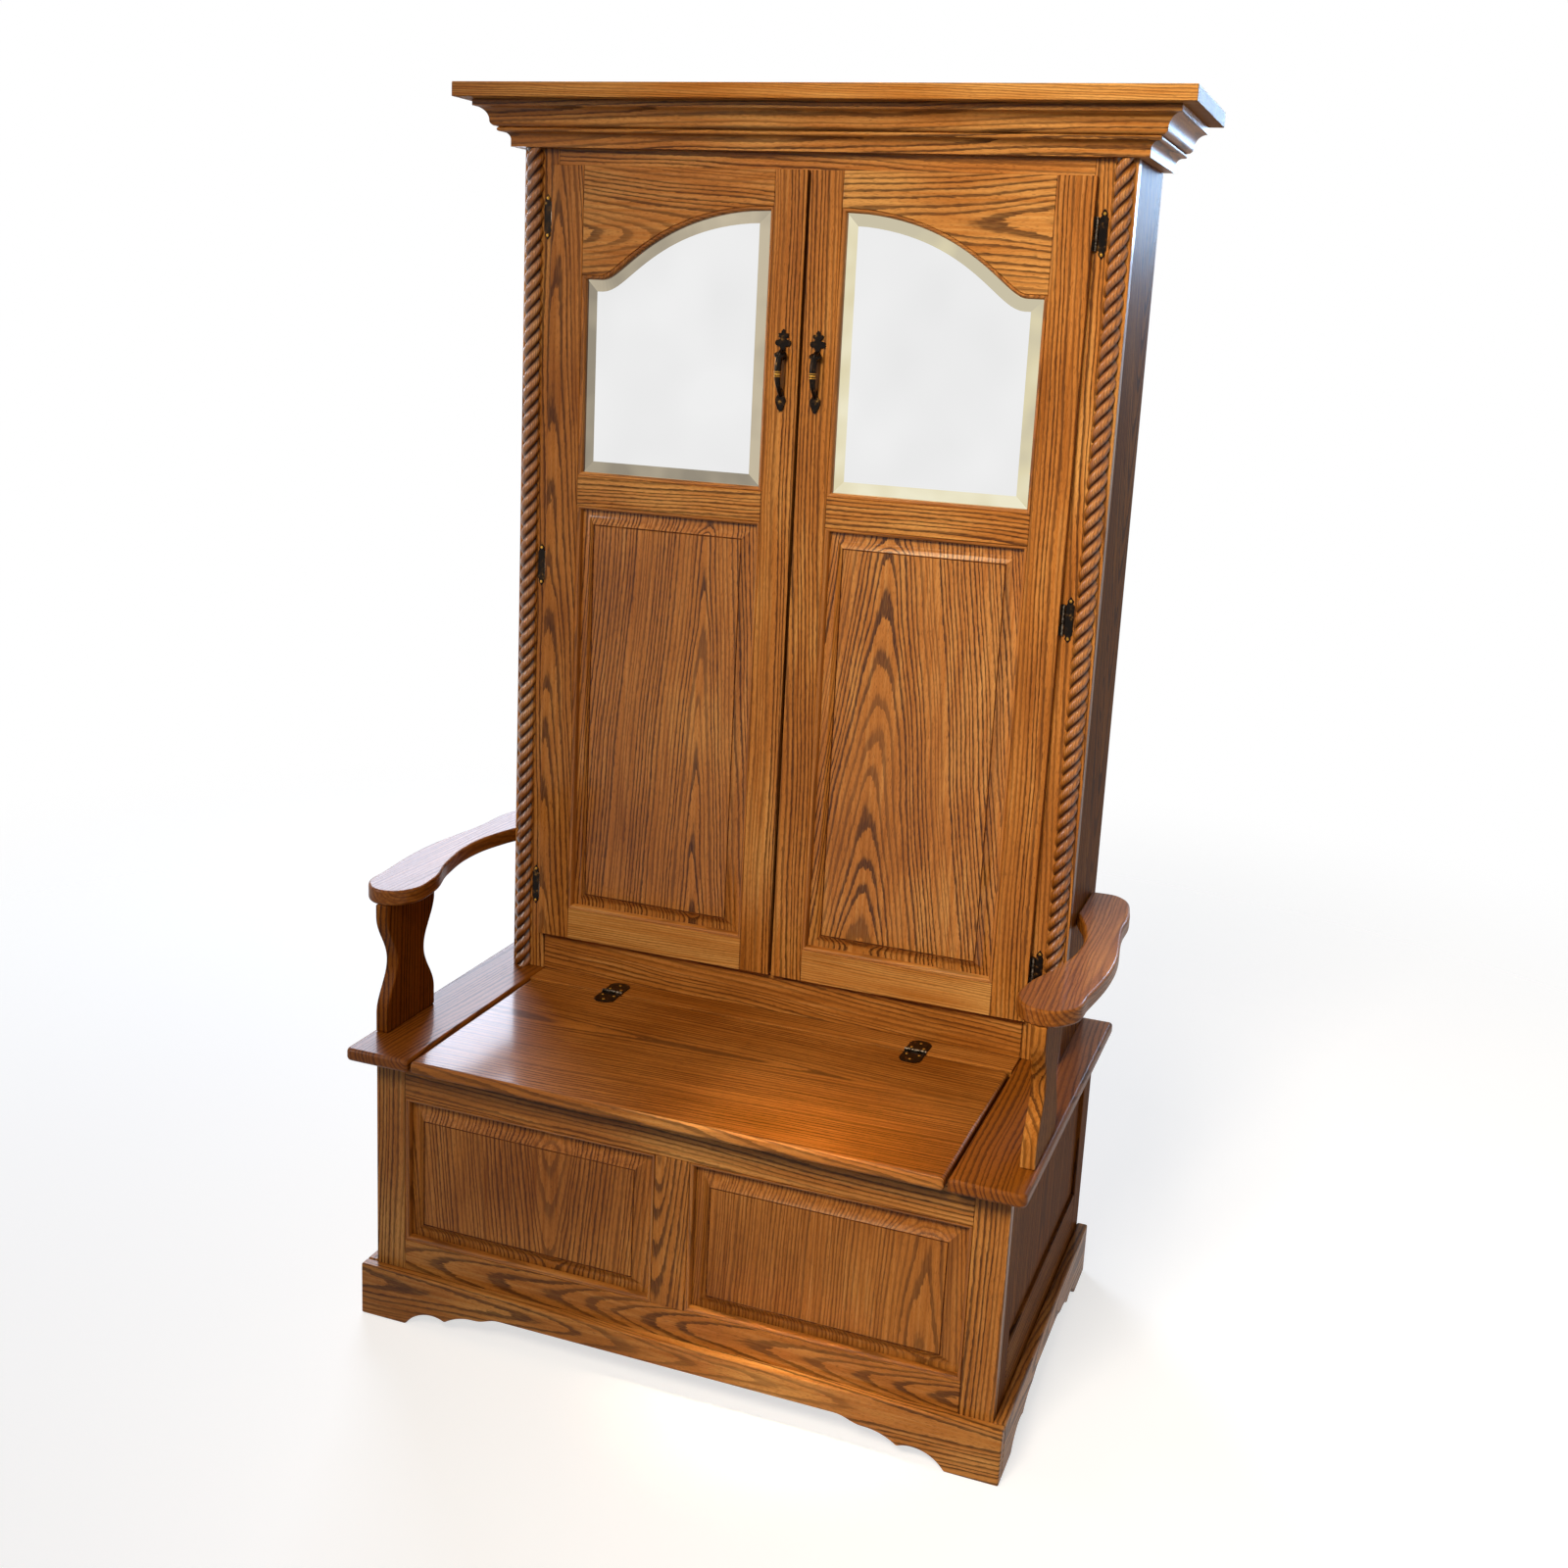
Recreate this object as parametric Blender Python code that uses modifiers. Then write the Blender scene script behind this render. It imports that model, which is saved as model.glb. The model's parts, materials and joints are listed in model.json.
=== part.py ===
"""Hall tree bench: a storage chest with a hinged seat, arms, and a tall hutch with two mirrored doors.

Metres, +Z up, front towards -Y. The origin is on the floor, under the middle of the outer box.
"""

import math

import bmesh
import bpy
from mathutils import Matrix

# Clearance that touching pieces keep
GAP = 0.0003

# Overall depth and the chest
BACK_Y = 0.324
SEAT_TOP = 0.457
SEAT_THICK = 0.020
SEAT_HALF_W = 0.5245
SEAT_FRONT_Y = -0.324
CHEST_HALF_W = 0.497
CHEST_FRONT_Y = -0.280
CHEST_BOTTOM = 0.050
FRAME_THICK = 0.020
STILE_W = 0.050
MUNTIN_HALF_W = 0.027
OPENING_BOTTOM = 0.1335
OPENING_TOP = 0.373
FLOOR_Z = 0.060
FLOOR_THICK = 0.012
BACK_THICK = 0.006

# Recessed field of the chest sides
SIDE_FIELD_Y = (-0.214, 0.265)
SIDE_FIELD_Z = (0.167, 0.380)
SIDE_FIELD_DEPTH = 0.006

# Base skirt: bracket feet with two lobes that meet in a cusp
SKIRT_HALF_W = 0.515
SKIRT_THICK = 0.018
SKIRT_H = 0.086
APRON_Z = 0.046
FOOT_LEN = 0.079
LOWER_LOBE = (0.127, 0.025)
CUSP = (0.149, 0.020)
UPPER_LOBE = (0.200, 0.0365)
APRON_START = 0.245

# Seat: lid between two side boards, in front of a rear board
LID_HALF_W = 0.412
LID_REAR_Y = 0.0555
SIDE_BOARD_INNER = 0.416
REAR_BOARD_HALF_W = 0.4155
REAR_BOARD_Y = 0.0567
BOARD_ROUND = 0.004

# Arms and their posts
ARM_Z = (0.664, 0.688)
POST_X = (0.497, 0.518)
POST_FRONT_Y = -0.250
POST_REAR_Y = -0.114
POST_FRONT_WAIST = 0.029
POST_REAR_WAIST = 0.031
POST_WAIST_Z = (0.487, 0.645)

# Hutch
HUTCH_HALF_W = 0.475
HUTCH_FRONT_Y = 0.1065
HUTCH_TOP = 1.864
HUTCH_BOARD = 0.019
HUTCH_STILE_INNER = 0.416
HUTCH_RAIL_BOTTOM = 0.530
HUTCH_RAIL_TOP = 1.768
ROPE_X = 0.456
ROPE_R = 0.015

# Cornice
TOP_HALF_W = 0.557
TOP_FRONT_Y = 0.0220
TOP_THICK = 0.0215
CROWN_Z = 1.799
CROWN_REACH = 0.060

# Doors: a lip over the face frame and a rebated back that enters the opening
DOOR_INNER = 0.0025
DOOR_OUTER = 0.421
DOOR_Z = (0.524, 1.774)
DOOR_FRONT_Y = 0.0925
DOOR_BACK_Y = 0.1125
REBATE_OUTER = 0.413
REBATE_Z = (0.533, 1.765)
SIGHT_X = (0.061, 0.358)
PANEL_SIGHT_Z = (0.584, 1.248)
MIRROR_SIGHT_BOTTOM = 1.309
ARCH_SHOULDER_Z = 1.604
ARCH_CREST_Z = 1.714
ARCH_SHOULDER_X = 0.331
ARCH_SHOULDER_HANDLE = 0.028
ARCH_CREST_HANDLE = 0.186
GLASS_GROOVE = 0.007
GLASS_SEAT_Y = 0.1005
GLASS_THICK = 0.004
PANEL_BORDER = 0.002
DOOR_PANEL_EDGE = 0.025
DOOR_PANEL_RAISE = 0.005
CHEST_PANEL_EDGE = 0.034
CHEST_PANEL_RAISE = 0.007
CHEST_PANEL_RECESS = 0.012
CHEST_PANEL_BACK = 0.018

# Door hinges
HINGE_X = 0.4245
HINGE_Y = 0.1030
HINGE_Z = {"top": 1.697, "middle": 1.152, "bottom": 0.605}
KNUCKLE_R = 0.0026
KNUCKLE_HALF = 0.008
BARREL_HALF = 0.024
LEAF_OUTER_X = 0.4400
LEAF_TIP_HALF = 0.035
LEAF_THICK = 0.0016
TAB_INSET = 0.0006
EDGE_LEAF_Y = (0.0950, 0.1055)
EDGE_LEAF_THICK = 0.0012

# Lid hinges: two oval leaves on the seat
LID_HINGE_X = 0.262
LID_HINGE_Y = 0.0561
LID_HINGE_Z = SEAT_TOP + 0.0031
LID_LEAF_HALF_W = 0.018
LID_LEAF_LEN = 0.043
LID_KNUCKLE_HALF = 0.007
LID_BARREL_HALF = 0.018

# Handles: pulls with a trefoil above and a spade below
HANDLE_X = 0.0276
HANDLE_PLATE_THICK = 0.003
HANDLE_TOP_Z = 1.546
HANDLE_BOTTOM_Z = 1.425

# Finishes: colour, roughness, metallic
OAK = ((0.39, 0.16, 0.035, 1.0), 0.42, 0.0)
OAK_PLY = ((0.42, 0.22, 0.08, 1.0), 0.6, 0.0)
BRONZE = ((0.018, 0.012, 0.009, 1.0), 0.38, 0.9)
SILVERED = ((0.85, 0.85, 0.84, 1.0), 0.03, 1.0)

# Planes that a flat outline can lie in, as columns of local x, y and z
PLANES = {
    "front": Matrix(((1, 0, 0, 0), (0, 0, -1, 0), (0, 1, 0, 0), (0, 0, 0, 1))),
    "side": Matrix(((0, 0, 1, 0), (1, 0, 0, 0), (0, 1, 0, 0), (0, 0, 0, 1))),
    "plan": Matrix.Identity(4),
}
NORMAL_AXIS = {"front": 1, "side": 0, "plan": 2}

for old in list(bpy.data.objects):
    bpy.data.objects.remove(old, do_unlink=True)

parts = bpy.data.collections.new("hall_tree_bench")
cutters = bpy.data.collections.new("cutters")
bpy.context.scene.collection.children.link(parts)
bpy.context.scene.collection.children.link(cutters)


def body(name, location):
    """An empty that carries one body, placed on its joint's axis."""
    empty = bpy.data.objects.new(name, None)
    empty.empty_display_size = 0.05
    empty.location = location
    parts.objects.link(empty)
    return empty


def finish(obj, parent, look):
    """Hang a part on its body and give it its own material."""
    colour, roughness, metallic = look
    mat = bpy.data.materials.new(obj.name)
    mat.use_nodes = True
    shader = mat.node_tree.nodes["Principled BSDF"]
    shader.inputs["Base Color"].default_value = colour
    shader.inputs["Roughness"].default_value = roughness
    shader.inputs["Metallic"].default_value = metallic
    obj.data.materials.clear()
    obj.data.materials.append(mat)
    obj.parent = parent
    obj.matrix_parent_inverse = Matrix.Translation(parent.location).inverted()
    return obj


def board(name, x, y, z, rounding=0.0, collection=parts):
    """A box between two ends on each axis, with its edges rounded over."""
    ends = (x, y, z)
    shape = bmesh.new()
    bmesh.ops.create_cube(shape, size=1.0)
    bmesh.ops.scale(shape, vec=[high - low for low, high in ends], verts=shape.verts)
    mesh = bpy.data.meshes.new(name)
    shape.to_mesh(mesh)
    shape.free()
    obj = bpy.data.objects.new(name, mesh)
    obj.location = [(low + high) / 2 for low, high in ends]
    collection.objects.link(obj)
    if rounding:
        edge = obj.modifiers.new("rounded edges", "BEVEL")
        edge.width = rounding
        edge.segments = 2
    return obj


def sided(side, low, high):
    """Two ends on the left (-1) or right (+1) half, in rising order."""
    return (low, high) if side > 0 else (-high, -low)


def mirrored(side, loop):
    """An outline drawn for the right half, turned over for the left."""
    return [(side * u, v) for u, v in loop]


def outline(name, loops, plane, low, high, smooth=False, collection=parts):
    """A plate cut to closed loops; inner loops are holes. Smooth loops end on a straight closing side."""
    data = bpy.data.curves.new(name, "CURVE")
    data.dimensions = "2D"
    data.fill_mode = "BOTH"
    data.extrude = (high - low) / 2
    data.resolution_u = 4
    for loop in loops:
        spline = data.splines.new("BEZIER" if smooth else "POLY")
        knots = spline.bezier_points if smooth else spline.points
        knots.add(len(loop) - 1)
        for index, (u, v) in enumerate(loop):
            if smooth:
                kind = "VECTOR" if index in (0, len(loop) - 1) else "AUTO"
                knots[index].co = (u, v, 0)
                knots[index].handle_left_type = kind
                knots[index].handle_right_type = kind
            else:
                knots[index].co = (u, v, 0, 1)
        spline.use_cyclic_u = True
    obj = bpy.data.objects.new(name, data)
    place = Matrix.Identity(4)
    place.translation[NORMAL_AXIS[plane]] = (low + high) / 2
    obj.matrix_world = place @ PLANES[plane]
    collection.objects.link(obj)
    return obj


def as_mesh(curve, collection=parts):
    """The same shape as a welded mesh, so that it can be cut, joined or mitred."""
    bpy.context.view_layer.update()
    graph = bpy.context.evaluated_depsgraph_get()
    mesh = bpy.data.meshes.new_from_object(curve.evaluated_get(graph))
    shape = bmesh.new()
    shape.from_mesh(mesh)
    bmesh.ops.remove_doubles(shape, verts=shape.verts, dist=0.00001)
    bmesh.ops.recalc_face_normals(shape, faces=shape.faces)
    shape.to_mesh(mesh)
    shape.free()
    name = curve.name
    place = curve.matrix_world.copy()
    bpy.data.objects.remove(curve, do_unlink=True)
    obj = bpy.data.objects.new(name, mesh)
    obj.matrix_world = place
    collection.objects.link(obj)
    return obj


def combine(obj, tool, operation):
    """Join a tool to a part, or cut it away; the tool stays as a hidden guide."""
    change = obj.modifiers.new(operation.lower(), "BOOLEAN")
    change.operation = operation
    change.object = tool
    tool.hide_render = True
    tool.display_type = "WIRE"
    return obj


def cylinder(name, centre, radius, length, axis):
    """A guide cylinder along X or Z."""
    turn = (0, math.pi / 2, 0) if axis == "X" else (0, 0, 0)
    bpy.ops.mesh.primitive_cylinder_add(vertices=14, radius=radius, depth=length, location=centre, rotation=turn)
    obj = bpy.context.object
    obj.name = name
    for home in list(obj.users_collection):
        home.objects.unlink(obj)
    cutters.objects.link(obj)
    return obj


def arc(centre, radius, start, end, steps):
    """Points along a circular arc, with its angles in degrees."""
    angles = [math.radians(start + (end - start) * i / steps) for i in range(steps + 1)]
    return [(centre[0] + radius * math.cos(a), centre[1] + radius * math.sin(a)) for a in angles]


def bezier(first, first_handle, last_handle, last, steps):
    """Points along one cubic curve."""
    points = []
    for i in range(steps + 1):
        t = i / steps
        weights = ((1 - t) ** 3, 3 * t * (1 - t) ** 2, 3 * t * t * (1 - t), t ** 3)
        knots = (first, first_handle, last_handle, last)
        points.append(tuple(sum(w * k[axis] for w, k in zip(weights, knots)) for axis in (0, 1)))
    return points


def crest_arc(crest, end, steps):
    """Points from the end of a lobe to its crest, on the circle that is level at the crest."""
    reach = end[0] - crest[0]
    drop = crest[1] - end[1]
    radius = (reach * reach + drop * drop) / (2 * drop)
    xs = [end[0] - reach * i / steps for i in range(steps + 1)]
    return [(x, crest[1] - radius + math.sqrt(radius * radius - (x - crest[0]) ** 2)) for x in xs]


def bracket(end, steps=5):
    """Underside of a skirt board from its end to the apron, as distance and height, for an end at zero."""
    foot = crest_arc((-LOWER_LOBE[0], LOWER_LOBE[1]), (-FOOT_LEN, 0.0), steps)
    tail = crest_arc((LOWER_LOBE[0], LOWER_LOBE[1]), CUSP, 2)
    upper = crest_arc((-UPPER_LOBE[0], UPPER_LOBE[1]), (-CUSP[0], CUSP[1]), steps)
    rise = bezier(upper[-1], (-UPPER_LOBE[0] - 0.02, UPPER_LOBE[1]), (-APRON_START + 0.02, APRON_Z),
                  (-APRON_START, APRON_Z), 4)
    path = [(0.0, 0.0)] + foot + [(-d, z) for d, z in reversed(tail)][1:-1] + upper + rise[1:]
    return [(end + d, z) for d, z in path]


def skirt(carcass):
    """Three boards round the base, with bracket feet at their ends."""
    right_half = bracket(SKIRT_HALF_W)
    loop = right_half + [(-x, z) for x, z in reversed(right_half)]
    loop += [(-SKIRT_HALF_W, SKIRT_H), (SKIRT_HALF_W, SKIRT_H)]
    front_y = CHEST_FRONT_Y - SKIRT_THICK
    finish(outline("skirt_front", [loop], "front", front_y, CHEST_FRONT_Y), carcass, OAK)
    side_front = CHEST_FRONT_Y + GAP
    rear_half = bracket(BACK_Y)
    front_half = [(side_front, 0.0)] + [(front_y - d, z) for d, z in bracket(0.0)[1:]]
    loop = rear_half + list(reversed(front_half)) + [(side_front, SKIRT_H), (BACK_Y, SKIRT_H)]
    for side, name in ((-1, "skirt_left"), (1, "skirt_right")):
        low, high = sided(side, CHEST_HALF_W + GAP, SKIRT_HALF_W)
        finish(outline(name, [loop], "side", low, high), carcass, OAK)


def raised_panel(name, x, z, back_y, edge_y, border, margin, lift):
    """A panel with a flat border, then sloping sides up to a field that stands forward."""
    obj = board(name, x, (edge_y, back_y), z)
    shape = bmesh.new()
    shape.from_mesh(obj.data)
    shape.faces.ensure_lookup_table()
    front = [face for face in shape.faces if face.normal.y < -0.5]
    bmesh.ops.inset_region(shape, faces=front, thickness=border)
    bmesh.ops.inset_region(shape, faces=front, thickness=margin, depth=lift)
    shape.to_mesh(obj.data)
    shape.free()
    return obj


def chest(carcass):
    """Framed front with two raised panels, recessed sides, back and floor."""
    top = SEAT_TOP - SEAT_THICK - GAP
    front = CHEST_FRONT_Y + GAP
    front_y = (front, front + FRAME_THICK)
    inner = CHEST_HALF_W - STILE_W
    rail_x = (-inner + GAP, inner - GAP)
    for side, name in ((-1, "left"), (1, "right")):
        x = sided(side, inner, CHEST_HALF_W)
        finish(board("chest_stile_" + name, x, front_y, (CHEST_BOTTOM, top)), carcass, OAK)
        panel_x = sided(side, MUNTIN_HALF_W + GAP, inner - GAP)
        panel_z = (OPENING_BOTTOM + GAP, OPENING_TOP - GAP)
        panel = raised_panel("chest_panel_" + name, panel_x, panel_z, front + CHEST_PANEL_BACK,
                             front + CHEST_PANEL_RECESS, PANEL_BORDER, CHEST_PANEL_EDGE,
                             CHEST_PANEL_RAISE)
        finish(panel, carcass, OAK)
        outer = sided(side, CHEST_HALF_W - FRAME_THICK, CHEST_HALF_W)
        wall = board("chest_side_" + name, outer, (front_y[1] + GAP, BACK_Y), (CHEST_BOTTOM, top))
        field_x = sided(side, CHEST_HALF_W - SIDE_FIELD_DEPTH, CHEST_HALF_W + SIDE_FIELD_DEPTH)
        field = board("side_field_" + name, field_x, SIDE_FIELD_Y, SIDE_FIELD_Z, collection=cutters)
        finish(combine(wall, field, "DIFFERENCE"), carcass, OAK)
    finish(board("chest_rail_top", rail_x, front_y, (OPENING_TOP, top)), carcass, OAK)
    finish(board("chest_rail_bottom", rail_x, front_y, (CHEST_BOTTOM, OPENING_BOTTOM)), carcass, OAK)
    muntin_z = (OPENING_BOTTOM + GAP, OPENING_TOP - GAP)
    finish(board("chest_muntin", (-MUNTIN_HALF_W, MUNTIN_HALF_W), front_y, muntin_z), carcass, OAK)
    inside = CHEST_HALF_W - FRAME_THICK - GAP
    back_y = (BACK_Y - BACK_THICK, BACK_Y)
    finish(board("chest_back", (-inside, inside), back_y, (CHEST_BOTTOM, top)), carcass, OAK_PLY)
    floor_y = (front_y[1] + GAP, back_y[0] - GAP)
    floor_z = (FLOOR_Z, FLOOR_Z + FLOOR_THICK)
    finish(board("chest_floor", (-inside, inside), floor_y, floor_z), carcass, OAK_PLY)


def seat(carcass, lid):
    """Two fixed side boards, a fixed rear board and the lid between them."""
    z = (SEAT_TOP - SEAT_THICK, SEAT_TOP)
    for side, name in ((-1, "seat_board_left"), (1, "seat_board_right")):
        x = sided(side, SIDE_BOARD_INNER, SEAT_HALF_W)
        finish(board(name, x, (SEAT_FRONT_Y, BACK_Y), z, BOARD_ROUND), carcass, OAK)
    rear_x = (-REAR_BOARD_HALF_W, REAR_BOARD_HALF_W)
    finish(board("seat_board_rear", rear_x, (REAR_BOARD_Y, BACK_Y), z), carcass, OAK)
    lid_x = (-LID_HALF_W, LID_HALF_W)
    finish(board("lid", lid_x, (SEAT_FRONT_Y, LID_REAR_Y), z, BOARD_ROUND), lid, OAK)


def arms(carcass):
    """S-shaped arm boards from the hutch sides, on waisted posts."""
    wall = HUTCH_HALF_W + GAP
    arm = [(wall, 0.168), (0.497, 0.108), (0.509, 0.025), (0.494, -0.078), (0.468, -0.165), (0.473, -0.229),
           (0.508, -0.251), (0.546, -0.226), (0.557, -0.165), (0.568, -0.020), (0.553, 0.120), (0.549, 0.212),
           (0.522, 0.280), (wall, 0.285)]
    z_low, z_high = POST_WAIST_Z
    waist = [i / 12 for i in range(13)]
    heights = [z_low + (z_high - z_low) * t for t in waist]
    depths = [(1 - math.cos(2 * math.pi * t)) / 2 for t in waist]
    base, top = SEAT_TOP + GAP, ARM_Z[0] - GAP
    post = [(POST_REAR_Y, base)] + [(POST_REAR_Y - POST_REAR_WAIST * d, z) for d, z in zip(depths, heights)]
    post += [(POST_REAR_Y, top), (POST_FRONT_Y, top)]
    post += [(POST_FRONT_Y + POST_FRONT_WAIST * d, z) for d, z in zip(reversed(depths), reversed(heights))]
    post += [(POST_FRONT_Y, base)]
    for side, name in ((-1, "left"), (1, "right")):
        arm_board = outline("arm_" + name, [mirrored(side, arm)], "plan", *ARM_Z, smooth=True)
        finish(arm_board, carcass, OAK)
        finish(outline("arm_post_" + name, [post], "side", *sided(side, *POST_X)), carcass, OAK)


def hutch(carcass):
    """Tall cabinet on the rear of the seat: sides, back, face frame and rope columns."""
    z = (SEAT_TOP + GAP, HUTCH_TOP - GAP)
    face_y = (HUTCH_FRONT_Y, HUTCH_FRONT_Y + FRAME_THICK)
    wall_inner = HUTCH_HALF_W - HUTCH_BOARD
    half_round = arc((0.0, 0.0), ROPE_R, 180, 360, 12)
    for side, name in ((-1, "left"), (1, "right")):
        wall_x = sided(side, wall_inner, HUTCH_HALF_W)
        finish(board("hutch_side_" + name, wall_x, (face_y[1] + GAP, BACK_Y), z), carcass, OAK)
        stile_x = sided(side, HUTCH_STILE_INNER, HUTCH_HALF_W)
        finish(board("hutch_stile_" + name, stile_x, face_y, z), carcass, OAK)
        column = [(side * ROPE_X + x, HUTCH_FRONT_Y - GAP + y) for x, y in half_round]
        rope = outline("rope_column_" + name, [column], "plan", SEAT_TOP + GAP, CROWN_Z - GAP)
        finish(rope, carcass, OAK)
    rail_x = (-HUTCH_STILE_INNER + GAP, HUTCH_STILE_INNER - GAP)
    finish(board("hutch_rail_top", rail_x, face_y, (HUTCH_RAIL_TOP, z[1])), carcass, OAK)
    finish(board("hutch_rail_bottom", rail_x, face_y, (z[0], HUTCH_RAIL_BOTTOM)), carcass, OAK)
    back_x = (-wall_inner + GAP, wall_inner - GAP)
    finish(board("hutch_back", back_x, (BACK_Y - BACK_THICK, BACK_Y), z), carcass, OAK_PLY)


def crown_profile():
    """Section of the crown moulding as reach from the cabinet and height, bottom edge first."""
    fascia = 0.0165
    section = [(0.0, 0.0), (fascia, 0.0)]
    section += arc((0.0270, 0.0105), 0.0105, 180, 90, 4)
    section += arc((0.0295, 0.0242), 0.0032, -90, 90, 4)
    section += arc((0.0330, 0.0360), 0.0080, -90, 0, 3)
    section += arc((CROWN_REACH, 0.0360), 0.0190, 180, 90, 5)[1:]
    height = HUTCH_TOP - GAP - CROWN_Z
    return [(s, CROWN_Z + z) for s, z in section + [(CROWN_REACH, height), (0.0, height)]]


def mitre(obj, axis, middle, ends, reach):
    """Slope the given ends of a straight moulding: each point there moves out by its own reach."""
    bpy.context.view_layer.update()
    place = obj.matrix_world.copy()
    for vertex in obj.data.vertices:
        point = place @ vertex.co
        for end in ends:
            if end * (point[axis] - middle) > 0:
                point[axis] += end * reach(point)
        vertex.co = place.inverted() @ point
    return obj


def cornice(carcass):
    """Top board over a crown moulding that is mitred at the front corners."""
    top_z = (HUTCH_TOP, HUTCH_TOP + TOP_THICK)
    finish(board("top_board", (-TOP_HALF_W, TOP_HALF_W), (TOP_FRONT_Y, BACK_Y), top_z), carcass, OAK)
    section = crown_profile()
    face_y = HUTCH_FRONT_Y - GAP
    face_x = HUTCH_HALF_W + GAP
    front = [(face_y - reach, z) for reach, z in section]
    half = face_x - GAP
    moulding = as_mesh(outline("crown_front", [front], "side", -half, half))
    finish(mitre(moulding, 0, 0.0, (-1, 1), lambda point: face_y - point.y), carcass, OAK)
    for side, name in ((-1, "crown_left"), (1, "crown_right")):
        across = [(side * (face_x + reach), z) for reach, z in section]
        moulding = as_mesh(outline(name, [across], "front", face_y, BACK_Y))
        middle = (face_y + BACK_Y) / 2
        finish(mitre(moulding, 1, middle, (-1,), lambda point: abs(point.x) - face_x), carcass, OAK)


def sight_loop(margin=0.0):
    """Half-arched outline of a mirror for the right door, let out by a margin."""
    inner, outer = SIGHT_X[0] - margin, SIGHT_X[1] + margin
    shoulder, crest = ARCH_SHOULDER_Z + margin, ARCH_CREST_Z + margin
    arch = bezier((ARCH_SHOULDER_X, shoulder), (ARCH_SHOULDER_X - ARCH_SHOULDER_HANDLE, shoulder),
                  (inner + ARCH_CREST_HANDLE, crest), (inner, crest), 12)
    bottom = MIRROR_SIGHT_BOTTOM - margin
    return [(inner, bottom), (outer, bottom), (outer, shoulder)] + arch


def panel_loop(margin=0.0):
    """Rectangular outline of a door's lower opening, let out by a margin."""
    inner, outer = SIGHT_X[0] - margin, SIGHT_X[1] + margin
    low, high = PANEL_SIGHT_Z[0] - margin, PANEL_SIGHT_Z[1] + margin
    return [(inner, low), (outer, low), (outer, high), (inner, high)]


def frame_loop(outer, z):
    """Rectangular outline of a door layer."""
    return [(DOOR_INNER, z[0]), (outer, z[0]), (outer, z[1]), (DOOR_INNER, z[1])]


def door(side, name, hinge):
    """A lipped frame with a mirror above and a raised panel below."""
    lip_back = HUTCH_FRONT_Y - GAP
    openings = [mirrored(side, sight_loop()), mirrored(side, panel_loop())]
    lip = [mirrored(side, frame_loop(DOOR_OUTER, DOOR_Z))] + openings
    frame = as_mesh(outline(name + "_frame", lip, "front", DOOR_FRONT_Y, lip_back))
    tongue = [mirrored(side, frame_loop(REBATE_OUTER, REBATE_Z))] + openings
    layer = outline(name + "_tongue", tongue, "front", lip_back - HUTCH_BOARD / 4, DOOR_BACK_Y, collection=cutters)
    combine(frame, as_mesh(layer, cutters), "UNION")
    for loop, part in ((sight_loop(GLASS_GROOVE), "_glass_seat"), (panel_loop(GLASS_GROOVE), "_panel_seat")):
        pocket = outline(name + part, [mirrored(side, loop)], "front", GLASS_SEAT_Y, DOOR_BACK_Y + HUTCH_BOARD,
                         collection=cutters)
        combine(frame, as_mesh(pocket, cutters), "DIFFERENCE")
    finish(frame, hinge, OAK)
    fit = GLASS_GROOVE - GAP
    glass_front = GLASS_SEAT_Y + GAP
    glass = outline(name + "_mirror", [mirrored(side, sight_loop(fit))], "front", glass_front,
                    glass_front + GLASS_THICK)
    finish(glass, hinge, SILVERED)
    (inner, low), (outer, _), (_, high), _ = panel_loop(fit)
    panel = raised_panel(name + "_panel", sided(side, inner, outer), (low, high), DOOR_BACK_Y, glass_front,
                         GLASS_GROOVE + PANEL_BORDER, DOOR_PANEL_EDGE, DOOR_PANEL_RAISE)
    finish(panel, hinge, OAK)


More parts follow.
